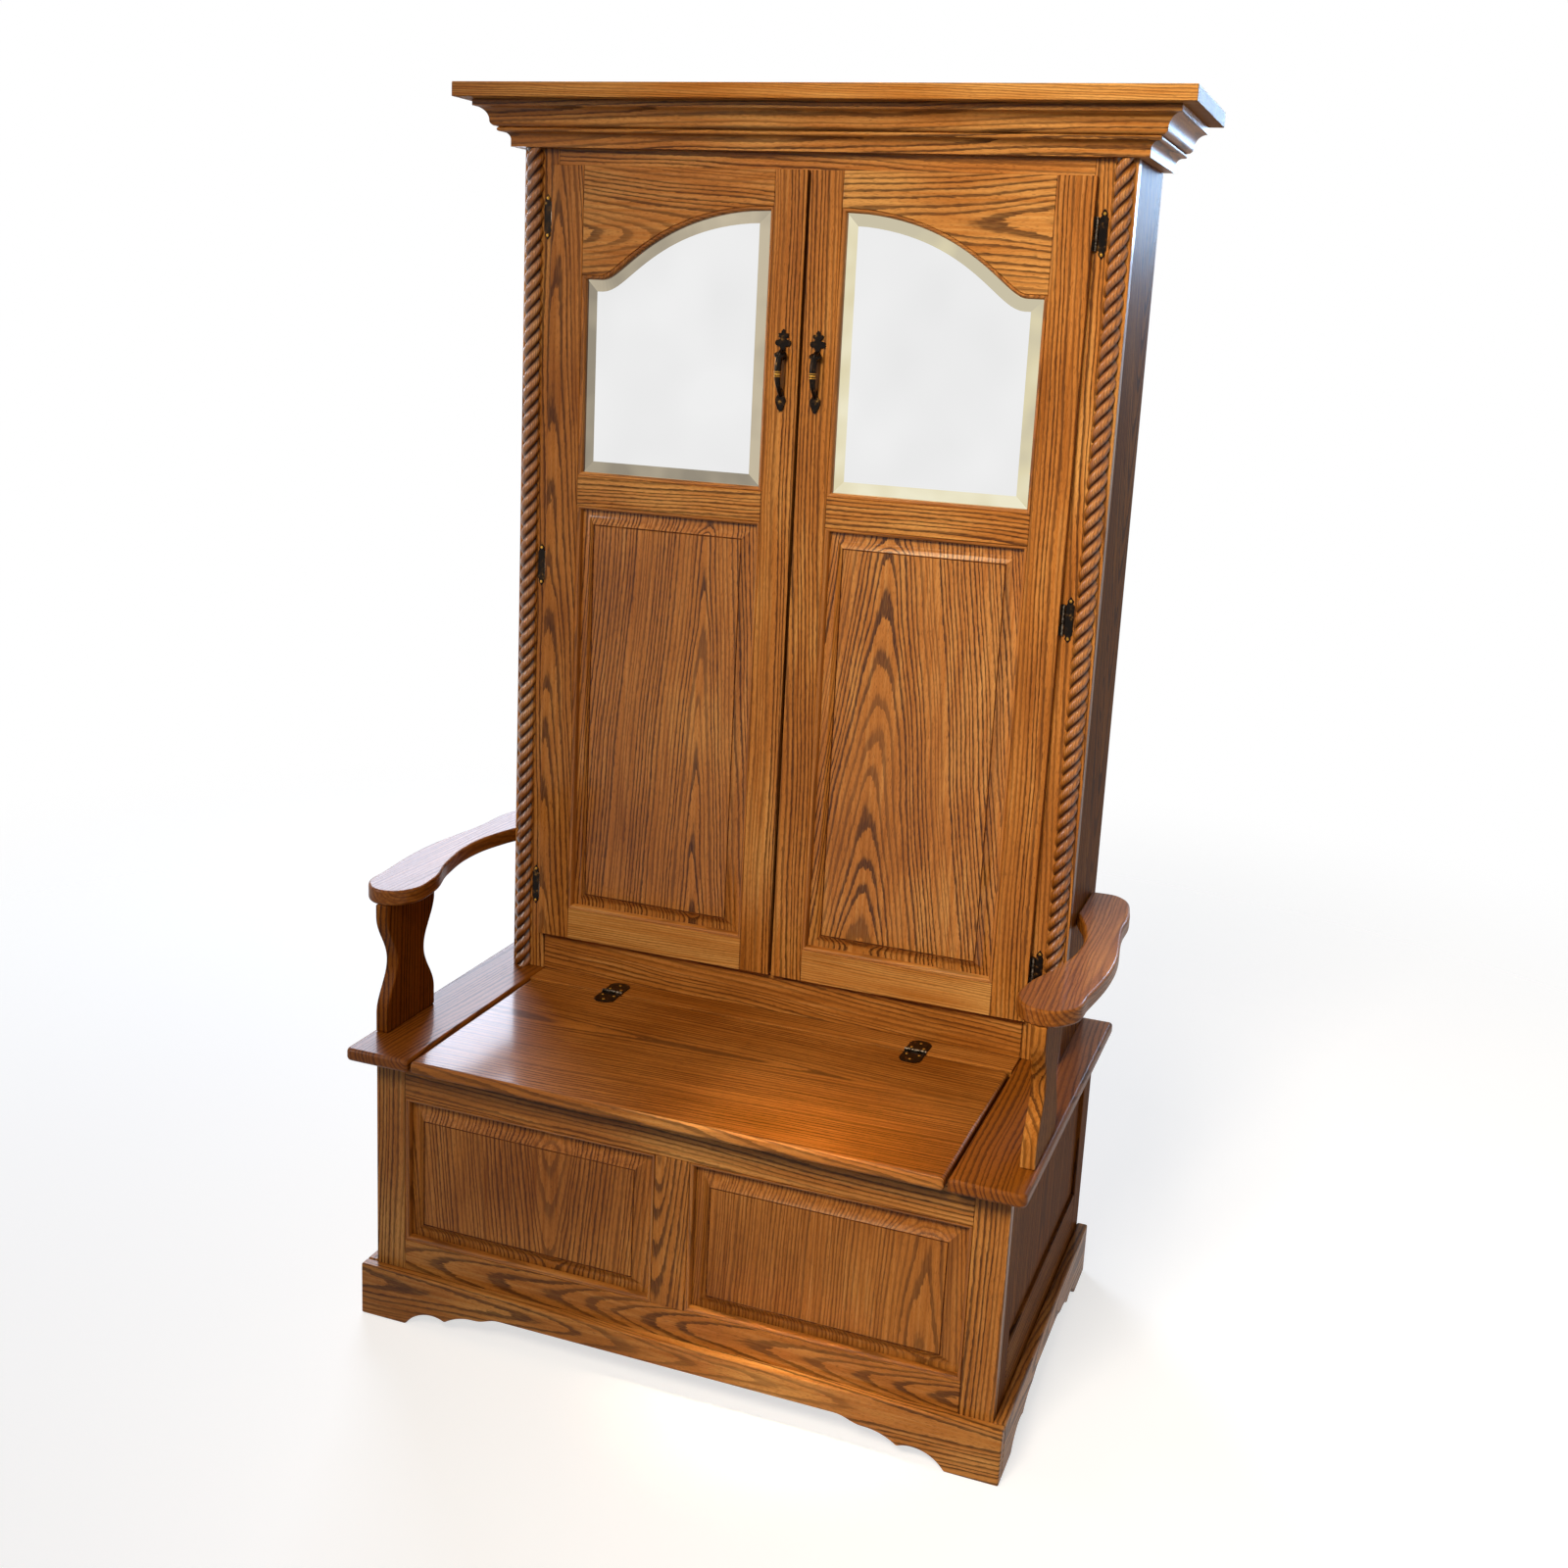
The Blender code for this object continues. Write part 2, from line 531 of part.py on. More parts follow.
def door_hinge(side, name, level, carcass, hinge):
    """A leaf on the face frame with the middle knuckle, and a leaf on the door's edge with the outer two."""
    z = HINGE_Z[level]
    x = side * HINGE_X
    leaf_x = HINGE_X + KNUCKLE_R + GAP
    tab = KNUCKLE_HALF - GAP - TAB_INSET
    neck = BARREL_HALF - KNUCKLE_R
    middle_x = (leaf_x + LEAF_OUTER_X) / 2
    tab_x = HINGE_X + TAB_INSET
    half = [(tab_x, 0.0), (tab_x, tab), (leaf_x, tab), (leaf_x, BARREL_HALF), (middle_x - 0.002, neck + 0.005),
            (middle_x, LEAF_TIP_HALF), (middle_x + 0.002, neck + 0.005), (LEAF_OUTER_X, BARREL_HALF - 0.004),
            (LEAF_OUTER_X, 0.0)]
    loop = [(u, z + v) for u, v in half] + [(u, z - v) for u, v in reversed(half[1:-1])]
    face = HUTCH_FRONT_Y - GAP
    leaf = as_mesh(outline("frame_leaf_" + name, [mirrored(side, loop)], "front", face - LEAF_THICK, face))
    knuckle = cylinder("middle_knuckle_" + name, (x, HINGE_Y, z), KNUCKLE_R, 2 * (tab + TAB_INSET), "Z")
    finish(combine(leaf, knuckle, "UNION"), carcass, BRONZE)
    front, rear = EDGE_LEAF_Y
    clear = KNUCKLE_HALF + GAP
    notch = HINGE_Y - KNUCKLE_R - GAP
    tab_low, tab_high = clear + TAB_INSET, BARREL_HALF - TAB_INSET
    edge = [(front, z - tab_high), (rear, z - tab_high), (rear, z - tab_low), (notch, z - tab_low),
            (notch, z + tab_low), (rear, z + tab_low), (rear, z + tab_high), (front, z + tab_high)]
    edge_x = sided(side, DOOR_OUTER + GAP, DOOR_OUTER + GAP + EDGE_LEAF_THICK)
    leaf = as_mesh(outline("door_leaf_" + name, [edge], "side", *edge_x))
    length = BARREL_HALF - clear
    for end in (-1, 1):
        centre = (x, HINGE_Y, z + end * (clear + length / 2))
        knuckle = cylinder("outer_knuckle_" + name, centre, KNUCKLE_R, length, "Z")
        combine(leaf, knuckle, "UNION")
    finish(leaf, hinge, BRONZE)


def lid_hinge(side, name, carcass, lid):
    """Two oval leaves on the seat: the rear one has the middle knuckle, the lid's has the outer two."""
    x = side * LID_HINGE_X
    z = (SEAT_TOP + GAP, SEAT_TOP + GAP + LEAF_THICK)
    clear = KNUCKLE_R + GAP
    oval = arc((0.0, 0.0), 1.0, 0, 180, 12)
    tab = LID_KNUCKLE_HALF - GAP - TAB_INSET
    rear = [(LID_LEAF_HALF_W * u, clear + (LID_LEAF_LEN - clear) * v) for u, v in oval]
    root = clear + TAB_INSET
    rear += [(-tab, root), (-tab, TAB_INSET), (tab, TAB_INSET), (tab, root)]
    loop = [(x + u, LID_HINGE_Y + v) for u, v in rear]
    leaf = as_mesh(outline("lid_hinge_fixed_" + name, [loop], "plan", *z))
    centre = (x, LID_HINGE_Y, LID_HINGE_Z)
    knuckle = cylinder("lid_knuckle_" + name, centre, KNUCKLE_R, 2 * (tab + TAB_INSET), "X")
    finish(combine(leaf, knuckle, "UNION"), carcass, BRONZE)
    notch = LID_KNUCKLE_HALF + GAP
    front = [(LID_LEAF_HALF_W * u, -clear - (LID_LEAF_LEN - clear) * v) for u, v in reversed(oval)]
    near, far = notch + TAB_INSET, LID_BARREL_HALF - TAB_INSET
    front += [(far, -root), (far, -TAB_INSET), (near, -TAB_INSET), (near, -root), (-near, -root),
              (-near, -TAB_INSET), (-far, -TAB_INSET), (-far, -root)]
    loop = [(x + u, LID_HINGE_Y + v) for u, v in front]
    leaf = as_mesh(outline("lid_hinge_moving_" + name, [loop], "plan", *z))
    length = LID_BARREL_HALF - notch
    for end in (-1, 1):
        centre = (x + end * (notch + length / 2), LID_HINGE_Y, LID_HINGE_Z)
        knuckle = cylinder("lid_outer_knuckle_" + name, centre, KNUCKLE_R, length, "X")
        combine(leaf, knuckle, "UNION")
    finish(leaf, lid, BRONZE)


def handle(side, name, hinge):
    """A pull that swells from a trefoil plate and tapers to a spade plate."""
    x = side * HANDLE_X
    face = DOOR_FRONT_Y - GAP
    plate_front = face - HANDLE_PLATE_THICK
    trefoil = [(-0.0045, 1.503), (-0.0105, 1.506), (-0.0110, 1.512), (-0.0050, 1.516), (-0.0125, 1.520),
               (-0.0125, 1.527), (-0.0085, 1.531), (-0.0085, 1.538), (-0.0040, 1.540), (0.0, HANDLE_TOP_Z)]
    spade = [(-0.0040, 1.456), (-0.0040, 1.450), (-0.0088, 1.443), (-0.0060, 1.434), (0.0, HANDLE_BOTTOM_Z)]
    base = None
    for half, part in ((trefoil, ""), (spade, "_spade")):
        loop = [(x + u, z) for u, z in half] + [(x - u, z) for u, z in reversed(half[:-1])]
        home = cutters if part else parts
        plate = outline(name + "_handle" + part, [loop], "front", plate_front, face, collection=home)
        plate = as_mesh(plate, home)
        base = combine(base, plate, "UNION") if base else plate
    route = [(1.509, -0.001, 0.0060), (1.506, 0.009, 0.0060), (1.497, 0.017, 0.0055), (1.480, 0.020, 0.0065),
             (1.466, 0.018, 0.0050), (1.456, 0.011, 0.0040), (1.451, -0.001, 0.0040)]
    data = bpy.data.curves.new(name + "_grip", "CURVE")
    data.dimensions = "3D"
    data.bevel_depth = 1.0
    data.bevel_resolution = 2
    data.use_fill_caps = True
    data.resolution_u = 3
    spline = data.splines.new("BEZIER")
    spline.bezier_points.add(len(route) - 1)
    for knot, (z, proud, radius) in zip(spline.bezier_points, route):
        knot.co = (x, plate_front - proud, z)
        knot.radius = radius
        knot.handle_left_type = "AUTO"
        knot.handle_right_type = "AUTO"
    grip = bpy.data.objects.new(name + "_grip", data)
    cutters.objects.link(grip)
    finish(combine(base, as_mesh(grip, cutters), "UNION"), hinge, BRONZE)


def main():
    """Build the carcass, then the two doors and the lid on their hinges."""
    carcass = body("carcass", (0.0, 0.0, 0.0))
    lid = body("lid_axis", (0.0, LID_HINGE_Y, LID_HINGE_Z))
    skirt(carcass)
    chest(carcass)
    seat(carcass, lid)
    arms(carcass)
    hutch(carcass)
    cornice(carcass)
    for side, name in ((-1, "left"), (1, "right")):
        hinge = body(name + "_door_axis", (side * HINGE_X, HINGE_Y, 0.0))
        door(side, name + "_door", hinge)
        for level in HINGE_Z:
            door_hinge(side, name + "_" + level, level, carcass, hinge)
        handle(side, name + "_door", hinge)
        lid_hinge(side, name, carcass, lid)


main()
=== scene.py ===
"""Looks of the hall tree bench: stained oak boards, carved rope, bronze fittings and bevelled mirrors."""

import json
import math
import random

import bpy
from mathutils import Euler, Matrix, Vector


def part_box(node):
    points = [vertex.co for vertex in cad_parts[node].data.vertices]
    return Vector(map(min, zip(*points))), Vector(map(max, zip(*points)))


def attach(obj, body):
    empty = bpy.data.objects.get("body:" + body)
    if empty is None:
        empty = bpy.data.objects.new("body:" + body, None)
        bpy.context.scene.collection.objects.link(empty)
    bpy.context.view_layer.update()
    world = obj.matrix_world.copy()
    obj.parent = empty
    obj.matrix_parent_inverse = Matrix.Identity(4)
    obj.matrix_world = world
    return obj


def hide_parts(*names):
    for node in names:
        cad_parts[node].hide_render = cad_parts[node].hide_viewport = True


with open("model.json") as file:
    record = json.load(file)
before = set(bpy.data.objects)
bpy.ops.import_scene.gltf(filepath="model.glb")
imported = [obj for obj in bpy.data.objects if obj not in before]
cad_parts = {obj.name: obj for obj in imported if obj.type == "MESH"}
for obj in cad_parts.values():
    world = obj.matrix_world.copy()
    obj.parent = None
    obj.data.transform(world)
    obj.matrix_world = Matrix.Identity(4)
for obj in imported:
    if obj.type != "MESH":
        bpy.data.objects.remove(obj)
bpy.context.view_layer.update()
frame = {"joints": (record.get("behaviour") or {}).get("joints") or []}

MM = 0.001
SIDES = ((-1, "left"), (1, "right"))

# Photograph: a square frame, its camera and where its optical axis falls
PHOTO_SIDE = 1600
FOCAL_PIXELS = 1769.9
AXIS_PIXEL_Y = 736.3
SENSOR_MM = 36
CAMERA_AT = (0.8968, -2.3967, 1.5620)
CAMERA_YAW, CAMERA_PITCH, CAMERA_ROLL = 0.3446, 0.2284, 0.0507

# Studio: floor that fades out between two radii, light of the surround, and softboxes
FLOOR_REACH = (1.3, 3.6)
FLOOR_DROP = 0.5 * MM
FLOOR_LIFT = 0.66
FLOOR_ROUGH = 0.9
AMBIENT = 0.12
WHITE = (1, 1, 1, 1)
LAMPS = (
    # name, place, aim, width and height in metres, spread in degrees, watts, colour
    ("key", (0.2, -2.8, 2.9), (1.35, 0.0, 1.1), (1.1, 1.0), 76, 42, "#fff2e0"),
    ("high_strip", (-0.5, -0.66, 3.6), (0.2, 0.0, 1.2), (0.7, 0.15), 180, 11, "#ffe4bc"),
    ("front_strip", (-0.87, -2.96, 3.6), (0.2, -0.3, 0.4), (0.7, 0.20), 180, 14, "#ffe4bc"),
    ("window", (-2.5, 3.0, 2.2), (-0.4, 0.0, 0.6), (1.7, 1.7), 120, 50, "#dce9ff"),
    ("rear_window", (1.1, 3.6, 2.5), (0.5, 0.2, 1.9), (1.0, 1.3), 34, 11.5, "#a8ccf4"),
    ("seat_lamp", (0.35, -0.75, 2.6), (0.20, -0.32, 0.45), (0.25, 0.20), 11, 0.42, "#ffe4bc"),
    ("sheen_panel", (-2.9, -2.2, 2.2), (0.2, 0.0, 1.2), (1.2, 1.2), 180, 40, "#ffffff"),
)

# Joinery: eased edges, gaps between boards, and how near a point has to be to count as on a face
EASE = 1.2 * MM
SEAM = 0.3 * MM
NEAR = 0.1 * MM
MERGE = 0.01 * MM
SHARP = math.radians(40)
MOULDING_SMOOTH = math.radians(35)
PANEL_SMOOTH = math.radians(30)
CURVE_STEPS = 10


# Modelling helpers


def only(piece):
    """Leave edit mode and select one object alone."""
    if bpy.context.object and bpy.context.object.mode != "OBJECT":
        bpy.ops.object.mode_set(mode="OBJECT")
    bpy.ops.object.select_all(action="DESELECT")
    if piece:
        piece.select_set(True)
        bpy.context.view_layer.objects.active = piece
    return piece


def settle():
    """Apply the place, turn and size of the active shape."""
    bpy.ops.object.transform_apply(location=True, rotation=True, scale=True)
    return bpy.context.object


def block(name, low, high):
    """A cube added at the size and place of a board."""
    only(None)
    centre = [(a + b) / 2 for a, b in zip(low, high)]
    size = [b - a for a, b in zip(low, high)]
    bpy.ops.mesh.primitive_cube_add(size=1, location=centre, scale=size)
    piece = settle()
    piece.name = name
    return piece


def choose(piece, kind, test):
    """Go into edit mode with only the faces or edges selected whose points all pass a test."""
    only(piece)
    bpy.ops.object.mode_set(mode="EDIT")
    bpy.ops.mesh.select_mode(type=kind)
    bpy.ops.mesh.select_all(action="DESELECT")
    bpy.ops.object.mode_set(mode="OBJECT")
    for item in piece.data.polygons if kind == "FACE" else piece.data.edges:
        item.select = all(test(piece.data.vertices[i].co) for i in item.vertices)
    bpy.ops.object.mode_set(mode="EDIT")


def ease(piece, width=EASE, segments=3):
    """Round a piece's sharp edges over, and keep its flat faces flat in shading."""
    only(piece)
    bpy.ops.object.shade_smooth()
    edge = piece.modifiers.new("eased edges", "BEVEL")
    edge.width = width
    edge.segments = segments
    edge.limit_method = "ANGLE"
    edge.angle_limit = SHARP
    edge.harden_normals = True
    bpy.ops.object.modifier_apply(modifier=edge.name)
    return piece


def cut(piece, low, high):
    """Take a rectangular rebate out of a board."""
    tool = block("rebate", low, high)
    only(piece)
    rebate = piece.modifiers.new("rebate", "BOOLEAN")
    rebate.object = tool
    bpy.ops.object.modifier_apply(modifier=rebate.name)
    bpy.data.objects.remove(tool, do_unlink=True)


def curve_mesh(name, data):
    """A curve turned into a clean mesh."""
    piece = bpy.data.objects.new(name, data)
    bpy.context.scene.collection.objects.link(piece)
    only(piece)
    bpy.ops.object.convert(target="MESH")
    bpy.ops.object.mode_set(mode="EDIT")
    bpy.ops.mesh.select_all(action="SELECT")
    bpy.ops.mesh.remove_doubles(threshold=MERGE)
    bpy.ops.mesh.normals_make_consistent(inside=False)
    return only(bpy.context.object)


# Planes that outlines are drawn in: the turn from the drawing board and the axis that looks at it
PLANES = {
    "front": (Matrix(((1, 0, 0), (0, 0, -1), (0, 1, 0))), 1),
    "side": (Matrix(((0, 0, 1), (1, 0, 0), (0, 1, 0))), 0),
    "plan": (Matrix.Identity(3), 2),
}


def plate(name, loop, plane, low, high, smooth=False):
    """A flat curve cut to an outline, made a mesh, with one whole face on each side.

    A smooth outline is a closed curve with a straight side between its last and first points.
    """
    data = bpy.data.curves.new(name, "CURVE")
    data.dimensions = "2D"
    data.fill_mode = "BOTH"
    data.extrude = (high - low) / 2
    data.resolution_u = CURVE_STEPS
    spline = data.splines.new("BEZIER" if smooth else "POLY")
    knots = spline.bezier_points if smooth else spline.points
    knots.add(len(loop) - 1)
    for index, knot in enumerate(knots):
        knot.co = (*loop[index], 0) if smooth else (*loop[index], 0, 1)
        if smooth:
            kind = "VECTOR" if index in (0, len(loop) - 1) else "AUTO"
            knot.handle_left_type = kind
            knot.handle_right_type = kind
    spline.use_cyclic_u = True
    piece = curve_mesh(name, data)
    for level in (-1, 1):
        choose(piece, "FACE", lambda point: level * point.z > 0)
        bpy.ops.mesh.dissolve_faces()
    only(piece)
    turn, axis = PLANES[plane]
    place = turn.to_4x4()
    place.translation[axis] = (low + high) / 2
    piece.matrix_world = place
    return settle()


def join(name, pieces):
    """Several shapes as one piece, with their material slots kept."""
    only(pieces[0])
    for piece in pieces:
        piece.select_set(True)
    bpy.ops.object.join()
    pieces[0].name = name
    return pieces[0]


def finish(piece, body, looks, nodes=()):
    """Paint a piece, hang it on its body and hide the solids it stands for."""
    only(piece)
    for look in looks:
        piece.data.materials.append(look)
    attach(piece, body)
    if nodes:
        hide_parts(*nodes)
    return piece


def arc(centre, radius, start, end, steps):
    """Points along a circular arc, with its angles in degrees."""
    angles = [math.radians(start + (end - start) * i / steps) for i in range(steps + 1)]
    return [(centre[0] + radius * math.cos(a), centre[1] + radius * math.sin(a)) for a in angles]


def bezier(first, first_handle, last_handle, last, steps):
    """Points along one cubic curve."""
    knots = (first, first_handle, last_handle, last)
    points = []
    for i in range(steps + 1):
        t = i / steps
        weights = ((1 - t) ** 3, 3 * t * (1 - t) ** 2, 3 * t * t * (1 - t), t ** 3)
        points.append(tuple(sum(w * k[axis] for w, k in zip(weights, knots)) for axis in (0, 1)))
    return points


def mirrored(side, loop):
    """An outline drawn for the right half, turned over for the left."""
    return [(side * u, v) for u, v in loop]


def sided(side, low, high):
    """Two ends on the left or right half, in rising order."""
    return (low, high) if side > 0 else (-high, -low)


def middle(low, high):
    """Centre of a box."""
    return (Vector(low) + Vector(high)) / 2


def rectangle(xs, zs):
    """Outline of an opening from its ends each way."""
    return [(xs[0], zs[0]), (xs[1], zs[0]), (xs[1], zs[1]), (xs[0], zs[1])]


# Materials


def linear(hex_colour):
    """An sRGB hex value as a linear colour."""
    parts = [int(hex_colour[i:i + 2], 16) / 255 for i in (1, 3, 5)]
    return (*[c / 12.92 if c <= 0.04045 else ((c + 0.055) / 1.055) ** 2.4 for c in parts], 1.0)


def wire(tree, node, inputs):
    """Put values or links on a node's sockets, by name or in their order."""
    for key, value in inputs.items() if isinstance(inputs, dict) else enumerate(inputs):
        if isinstance(value, bpy.types.NodeSocket):
            tree.links.new(value, node.inputs[key])
        else:
            node.inputs[key].default_value = value


def add(tree, kind, inputs=(), stops=None, out=0, **settings):
    """Add a shader node with its settings, ramp stops and values or links, and give one of its outputs.

    The kind of a mathematical node is followed by its operation.
    """
    kind, *operation = kind.split()
    new = tree.nodes.new("ShaderNode" + kind)
    if operation:
        new.operation = operation[0]
    for key, value in settings.items():
        setattr(new, key, value)
    if stops:
        while len(new.color_ramp.elements) < len(stops):
            new.color_ramp.elements.new(1.0)
        for element, (position, colour) in zip(new.color_ramp.elements, stops):
            element.position = position
            element.color = linear(colour)
    wire(tree, new, inputs)
    return new.outputs[out]


def blank(name):
    """A new material, its node tree and its shader."""
    look = bpy.data.materials.new(name)
    look.use_nodes = True
    return look, look.node_tree, look.node_tree.nodes["Principled BSDF"]


# Turn that brings a board's grain to local Z and its face normal to local Y: (grain axis, face axis)
GRAIN_TURN = {
    "ZY": (0, 0, 0),
    "ZX": (0, 0, 90),
    "XY": (0, -90, 0),
    "XZ": (90, -90, 0),
    "YZ": (90, 0, 0),
    "YX": (90, 0, 90),
}
# Figure of a board: ring spacing, wander across and through the board, distance of the pith to the side and
# behind, all in mm, then the lean of the pith, the taper of the trunk and the strength of the dark wood
FIGURES = {
    "bold": (6.8, 24, 36, 20, 30, 0.02, 0.07, 0.96),
    "arched": (6.8, 24, 36, 20, 30, 0.02, 0.07, 0.86),
    "straight": (6.4, 22, 20, 120, 60, 0.01, 0.02, 0.90),
    "calm": (5.6, 20, 24, 70, 45, 0.02, 0.04, 0.68),
    "fine": (3.6, 12, 20, 150, 75, 0.01, 0.02, 0.60),
    "lid": (7.4, 30, 30, 60, 26, 0.01, 0.05, 0.78),
    "seat": (6.0, 26, 30, 60, 26, 0.01, 0.04, 0.62),
}
# Lacquer: roughness and specular level of the wood, then weight and roughness of the coat that stands on it
SHEENS = {
    "matt": (0.65, 0.0, 0.17, 0.42),
    "waxed": (0.60, 0.0, 0.80, 0.50),
    "satin": (0.50, 0.1, 0.18, 0.15),
    "rubbed": (0.46, 0.1, 0.40, 0.15),
    "carved": (0.42, 0.2, 0.80, 0.14),
}
LACQUER_IOR = 1.5
# Wander of the rings, in repeats to a metre: slow over some 400 mm, and a ripple of a few mm over some 20 mm
# across and 110 mm along
SLOW_WANDER = (3, 3, 2.3)
RIPPLE = (50, 50, 9)
RIPPLE_MM = (4, 5)
# Good and bad years, so that rings bunch up and spread apart over some 25 mm, by this many rings
YEARS = 40
YEARS_SHIFT = 2.4
# Runs of years with wide or narrow early wood, over some 35 mm
RUNS = 30
RUNS_RANGE = {"From Min": 0.34, "From Max": 0.52, "To Min": 0.64, "To Max": 1.0}
# Fine patterns: repeats to a metre across, through and along the board, and the noise's detail
GRAIN_LAYERS = {
    # Ragged edge of each ring, about 2.5 mm across and 14 mm along
    "ragged": ((400, 400, 70), 1),
    # Pores: real ones are 0.3 mm wide, drawn about 1 mm wide and 20 mm long so that they show
    "pores": ((1000, 1000, 50), 1),
    # Flecks of single pores between the rings, drawn 0.7 mm wide and 8 mm long
    "flecks": ((1500, 1500, 130), 0),
    # Fibre streaks over some 5 mm
    "fibre": ((200, 200, 6), 4),
    # A slow change of tone over some 300 mm
    "cloud": ((3.5, 3.5, 3.5), 1),
}
RAGGED_SHIFT = 0.32
PORES_RANGE = {"From Min": 0.36, "From Max": 0.60, "To Min": 0.74, "To Max": 1.0}
FLECKS_RANGE = {"From Min": 0.58, "From Max": 0.72, "To Min": 0.0, "To Max": 0.45}
PORE_DEPTH = 0.25 * MM
PORE_BUMP = 0.3
PORE_ROUGH = 0.12
TONE_SHARE = 0.5
# Darkness of the stain and painted shade at the bottom of a carved hollow
HOLLOW_SHADE_AND_STAIN = 0.95
# Change of place from one glued stave to the next: across, through and along
STAVE_SHIFT = (190 * MM, 40 * MM, 3.0)
# Dark early wood to clear late wood over one ring, golden stain from dark to pale, and stain in the pores
EARLY_WOOD = [(0.0, "#c0c0c0"), (0.05, "#ffffff"), (0.30, "#f8f8f8"), (0.42, "#888888"), (0.60, "#181818"),
              (0.95, "#000000")]
GOLDEN_STAIN = [(0.28, "#80460d"), (0.50, "#a8692a"), (0.72, "#c48d4a")]
PORE_STAIN = "#290f03"
oak_count = 0


def oak(grain, centre, figure="straight", tone=0.0, stave=None, core=None, sheen="satin", heart=None):
    """Red oak with a golden wiping stain under satin lacquer.

    Growth rings round a far-off pith give arches or near-straight lines; the stain sits darkest in the
    open early-wood pores, which show as ragged strokes along the grain, and stain and painted shade sit
    in the hollows round a core.
    A heart gives the pith's distance to the side and behind in mm, its lean and its taper, in place of
    drawn ones.
    """
    global oak_count
    oak_count += 1
    dice = random.Random(oak_count)
    look, tree, shader = blank(f"stained_oak_{oak_count:02d}")
    ring_mm, across_mm, depth_mm, aside_mm, behind_mm, lean, taper, strength = FIGURES[figure]
    rough, level, coat, coat_rough = SHEENS[sheen]
    axes = Euler([math.radians(a) for a in GRAIN_TURN[grain]]).to_matrix()
    lean *= dice.choice((-1, 1)) * dice.uniform(0.7, 1.3)
    aside_mm *= dice.choice((-1, 1)) * dice.uniform(0.7, 1.2)
    behind_mm *= dice.uniform(0.8, 1.3)
    taper *= dice.choice((-1, 1))
    if heart:
        aside_mm, behind_mm, lean, taper = heart
    turn = Euler((lean, dice.uniform(-0.01, 0.01), 0)).to_matrix() @ axes
    pith = Vector((aside_mm, behind_mm, dice.uniform(0, 3000))) * MM
    place = add(tree, "TexCoord", out="Object")
    board = add(tree, "Mapping", {
        "Vector": place,
        "Rotation": turn.to_euler(),
        "Location": pith - turn @ Vector(centre),
    })
    if stave:
        # Glued staves, each from another part of the tree
        across = add(tree, "SeparateXYZ", {"Vector": board})
        count = add(tree, "Math MULTIPLY_ADD", (across, 1 / stave, dice.random()))
        count = add(tree, "Math FLOOR", (count,))
        back = add(tree, "VectorMath MULTIPLY_ADD", (count, (-stave, 0, 0), board))
        pick = add(tree, "TexWhiteNoise", {"W": count}, out="Color", noise_dimensions="1D")
        pick = add(tree, "VectorMath SUBTRACT", (pick, (0.5, 0.0, 0.0)))
        board = add(tree, "VectorMath MULTIPLY_ADD", (pick, STAVE_SHIFT, back))
    bent = board
    for scale, (wide, deep) in ((SLOW_WANDER, (across_mm, depth_mm)), (RIPPLE, RIPPLE_MM)):
        spread = add(tree, "VectorMath MULTIPLY", (board, scale))
        drift = add(tree, "TexNoise", {"Vector": spread, "Scale": 1, "Detail": 1}, out="Color")
        drift = add(tree, "VectorMath SUBTRACT", (drift, (0.5, 0.5, 0.5)))
        bent = add(tree, "VectorMath MULTIPLY_ADD", (drift, (wide * MM, deep * MM, 0), bent))
    layers = {}
    for layer, (scale, detail) in GRAIN_LAYERS.items():
        spread = add(tree, "VectorMath MULTIPLY", (board, scale))
        layers[layer] = add(tree, "TexNoise", {"Vector": spread, "Scale": 1, "Detail": detail})
    # Rings: how far a point is from the pith, counted in years
    along = add(tree, "SeparateXYZ", {"Vector": board}, out="Z")
    bent = add(tree, "VectorMath MULTIPLY", (bent, (1, 1, 0)))
    radius = add(tree, "VectorMath LENGTH", (bent,), out="Value")
    radius = add(tree, "Math MULTIPLY_ADD", (along, taper, radius))
    phase = add(tree, "Math MULTIPLY", (radius, 1 / (ring_mm * MM)))
    years = add(tree, "TexNoise", {"W": radius, "Scale": YEARS, "Detail": 1}, noise_dimensions="1D")
    phase = add(tree, "Math MULTIPLY_ADD", (years, YEARS_SHIFT, phase))
    phase = add(tree, "Math MULTIPLY_ADD", (layers["ragged"], RAGGED_SHIFT, phase))
    ring = add(tree, "Math FRACT", (phase,))
    # Dark wood: early wood, broken up by its pores and weaker in some runs of years, and flecks
    dark = add(tree, "ValToRGB", {"Fac": ring}, EARLY_WOOD)
    pores = add(tree, "MapRange", {"Value": layers["pores"], **PORES_RANGE})
    dark = add(tree, "Math MULTIPLY", (dark, pores))
    runs = add(tree, "TexNoise", {"W": radius, "Scale": RUNS, "Detail": 0}, noise_dimensions="1D")
    runs = add(tree, "MapRange", {"Value": runs, **RUNS_RANGE})
    dark = add(tree, "Math MULTIPLY", (dark, runs))
    flecks = add(tree, "MapRange", {"Value": layers["flecks"], **FLECKS_RANGE})
    dark = add(tree, "Math MAXIMUM", (dark, flecks))
    if core:
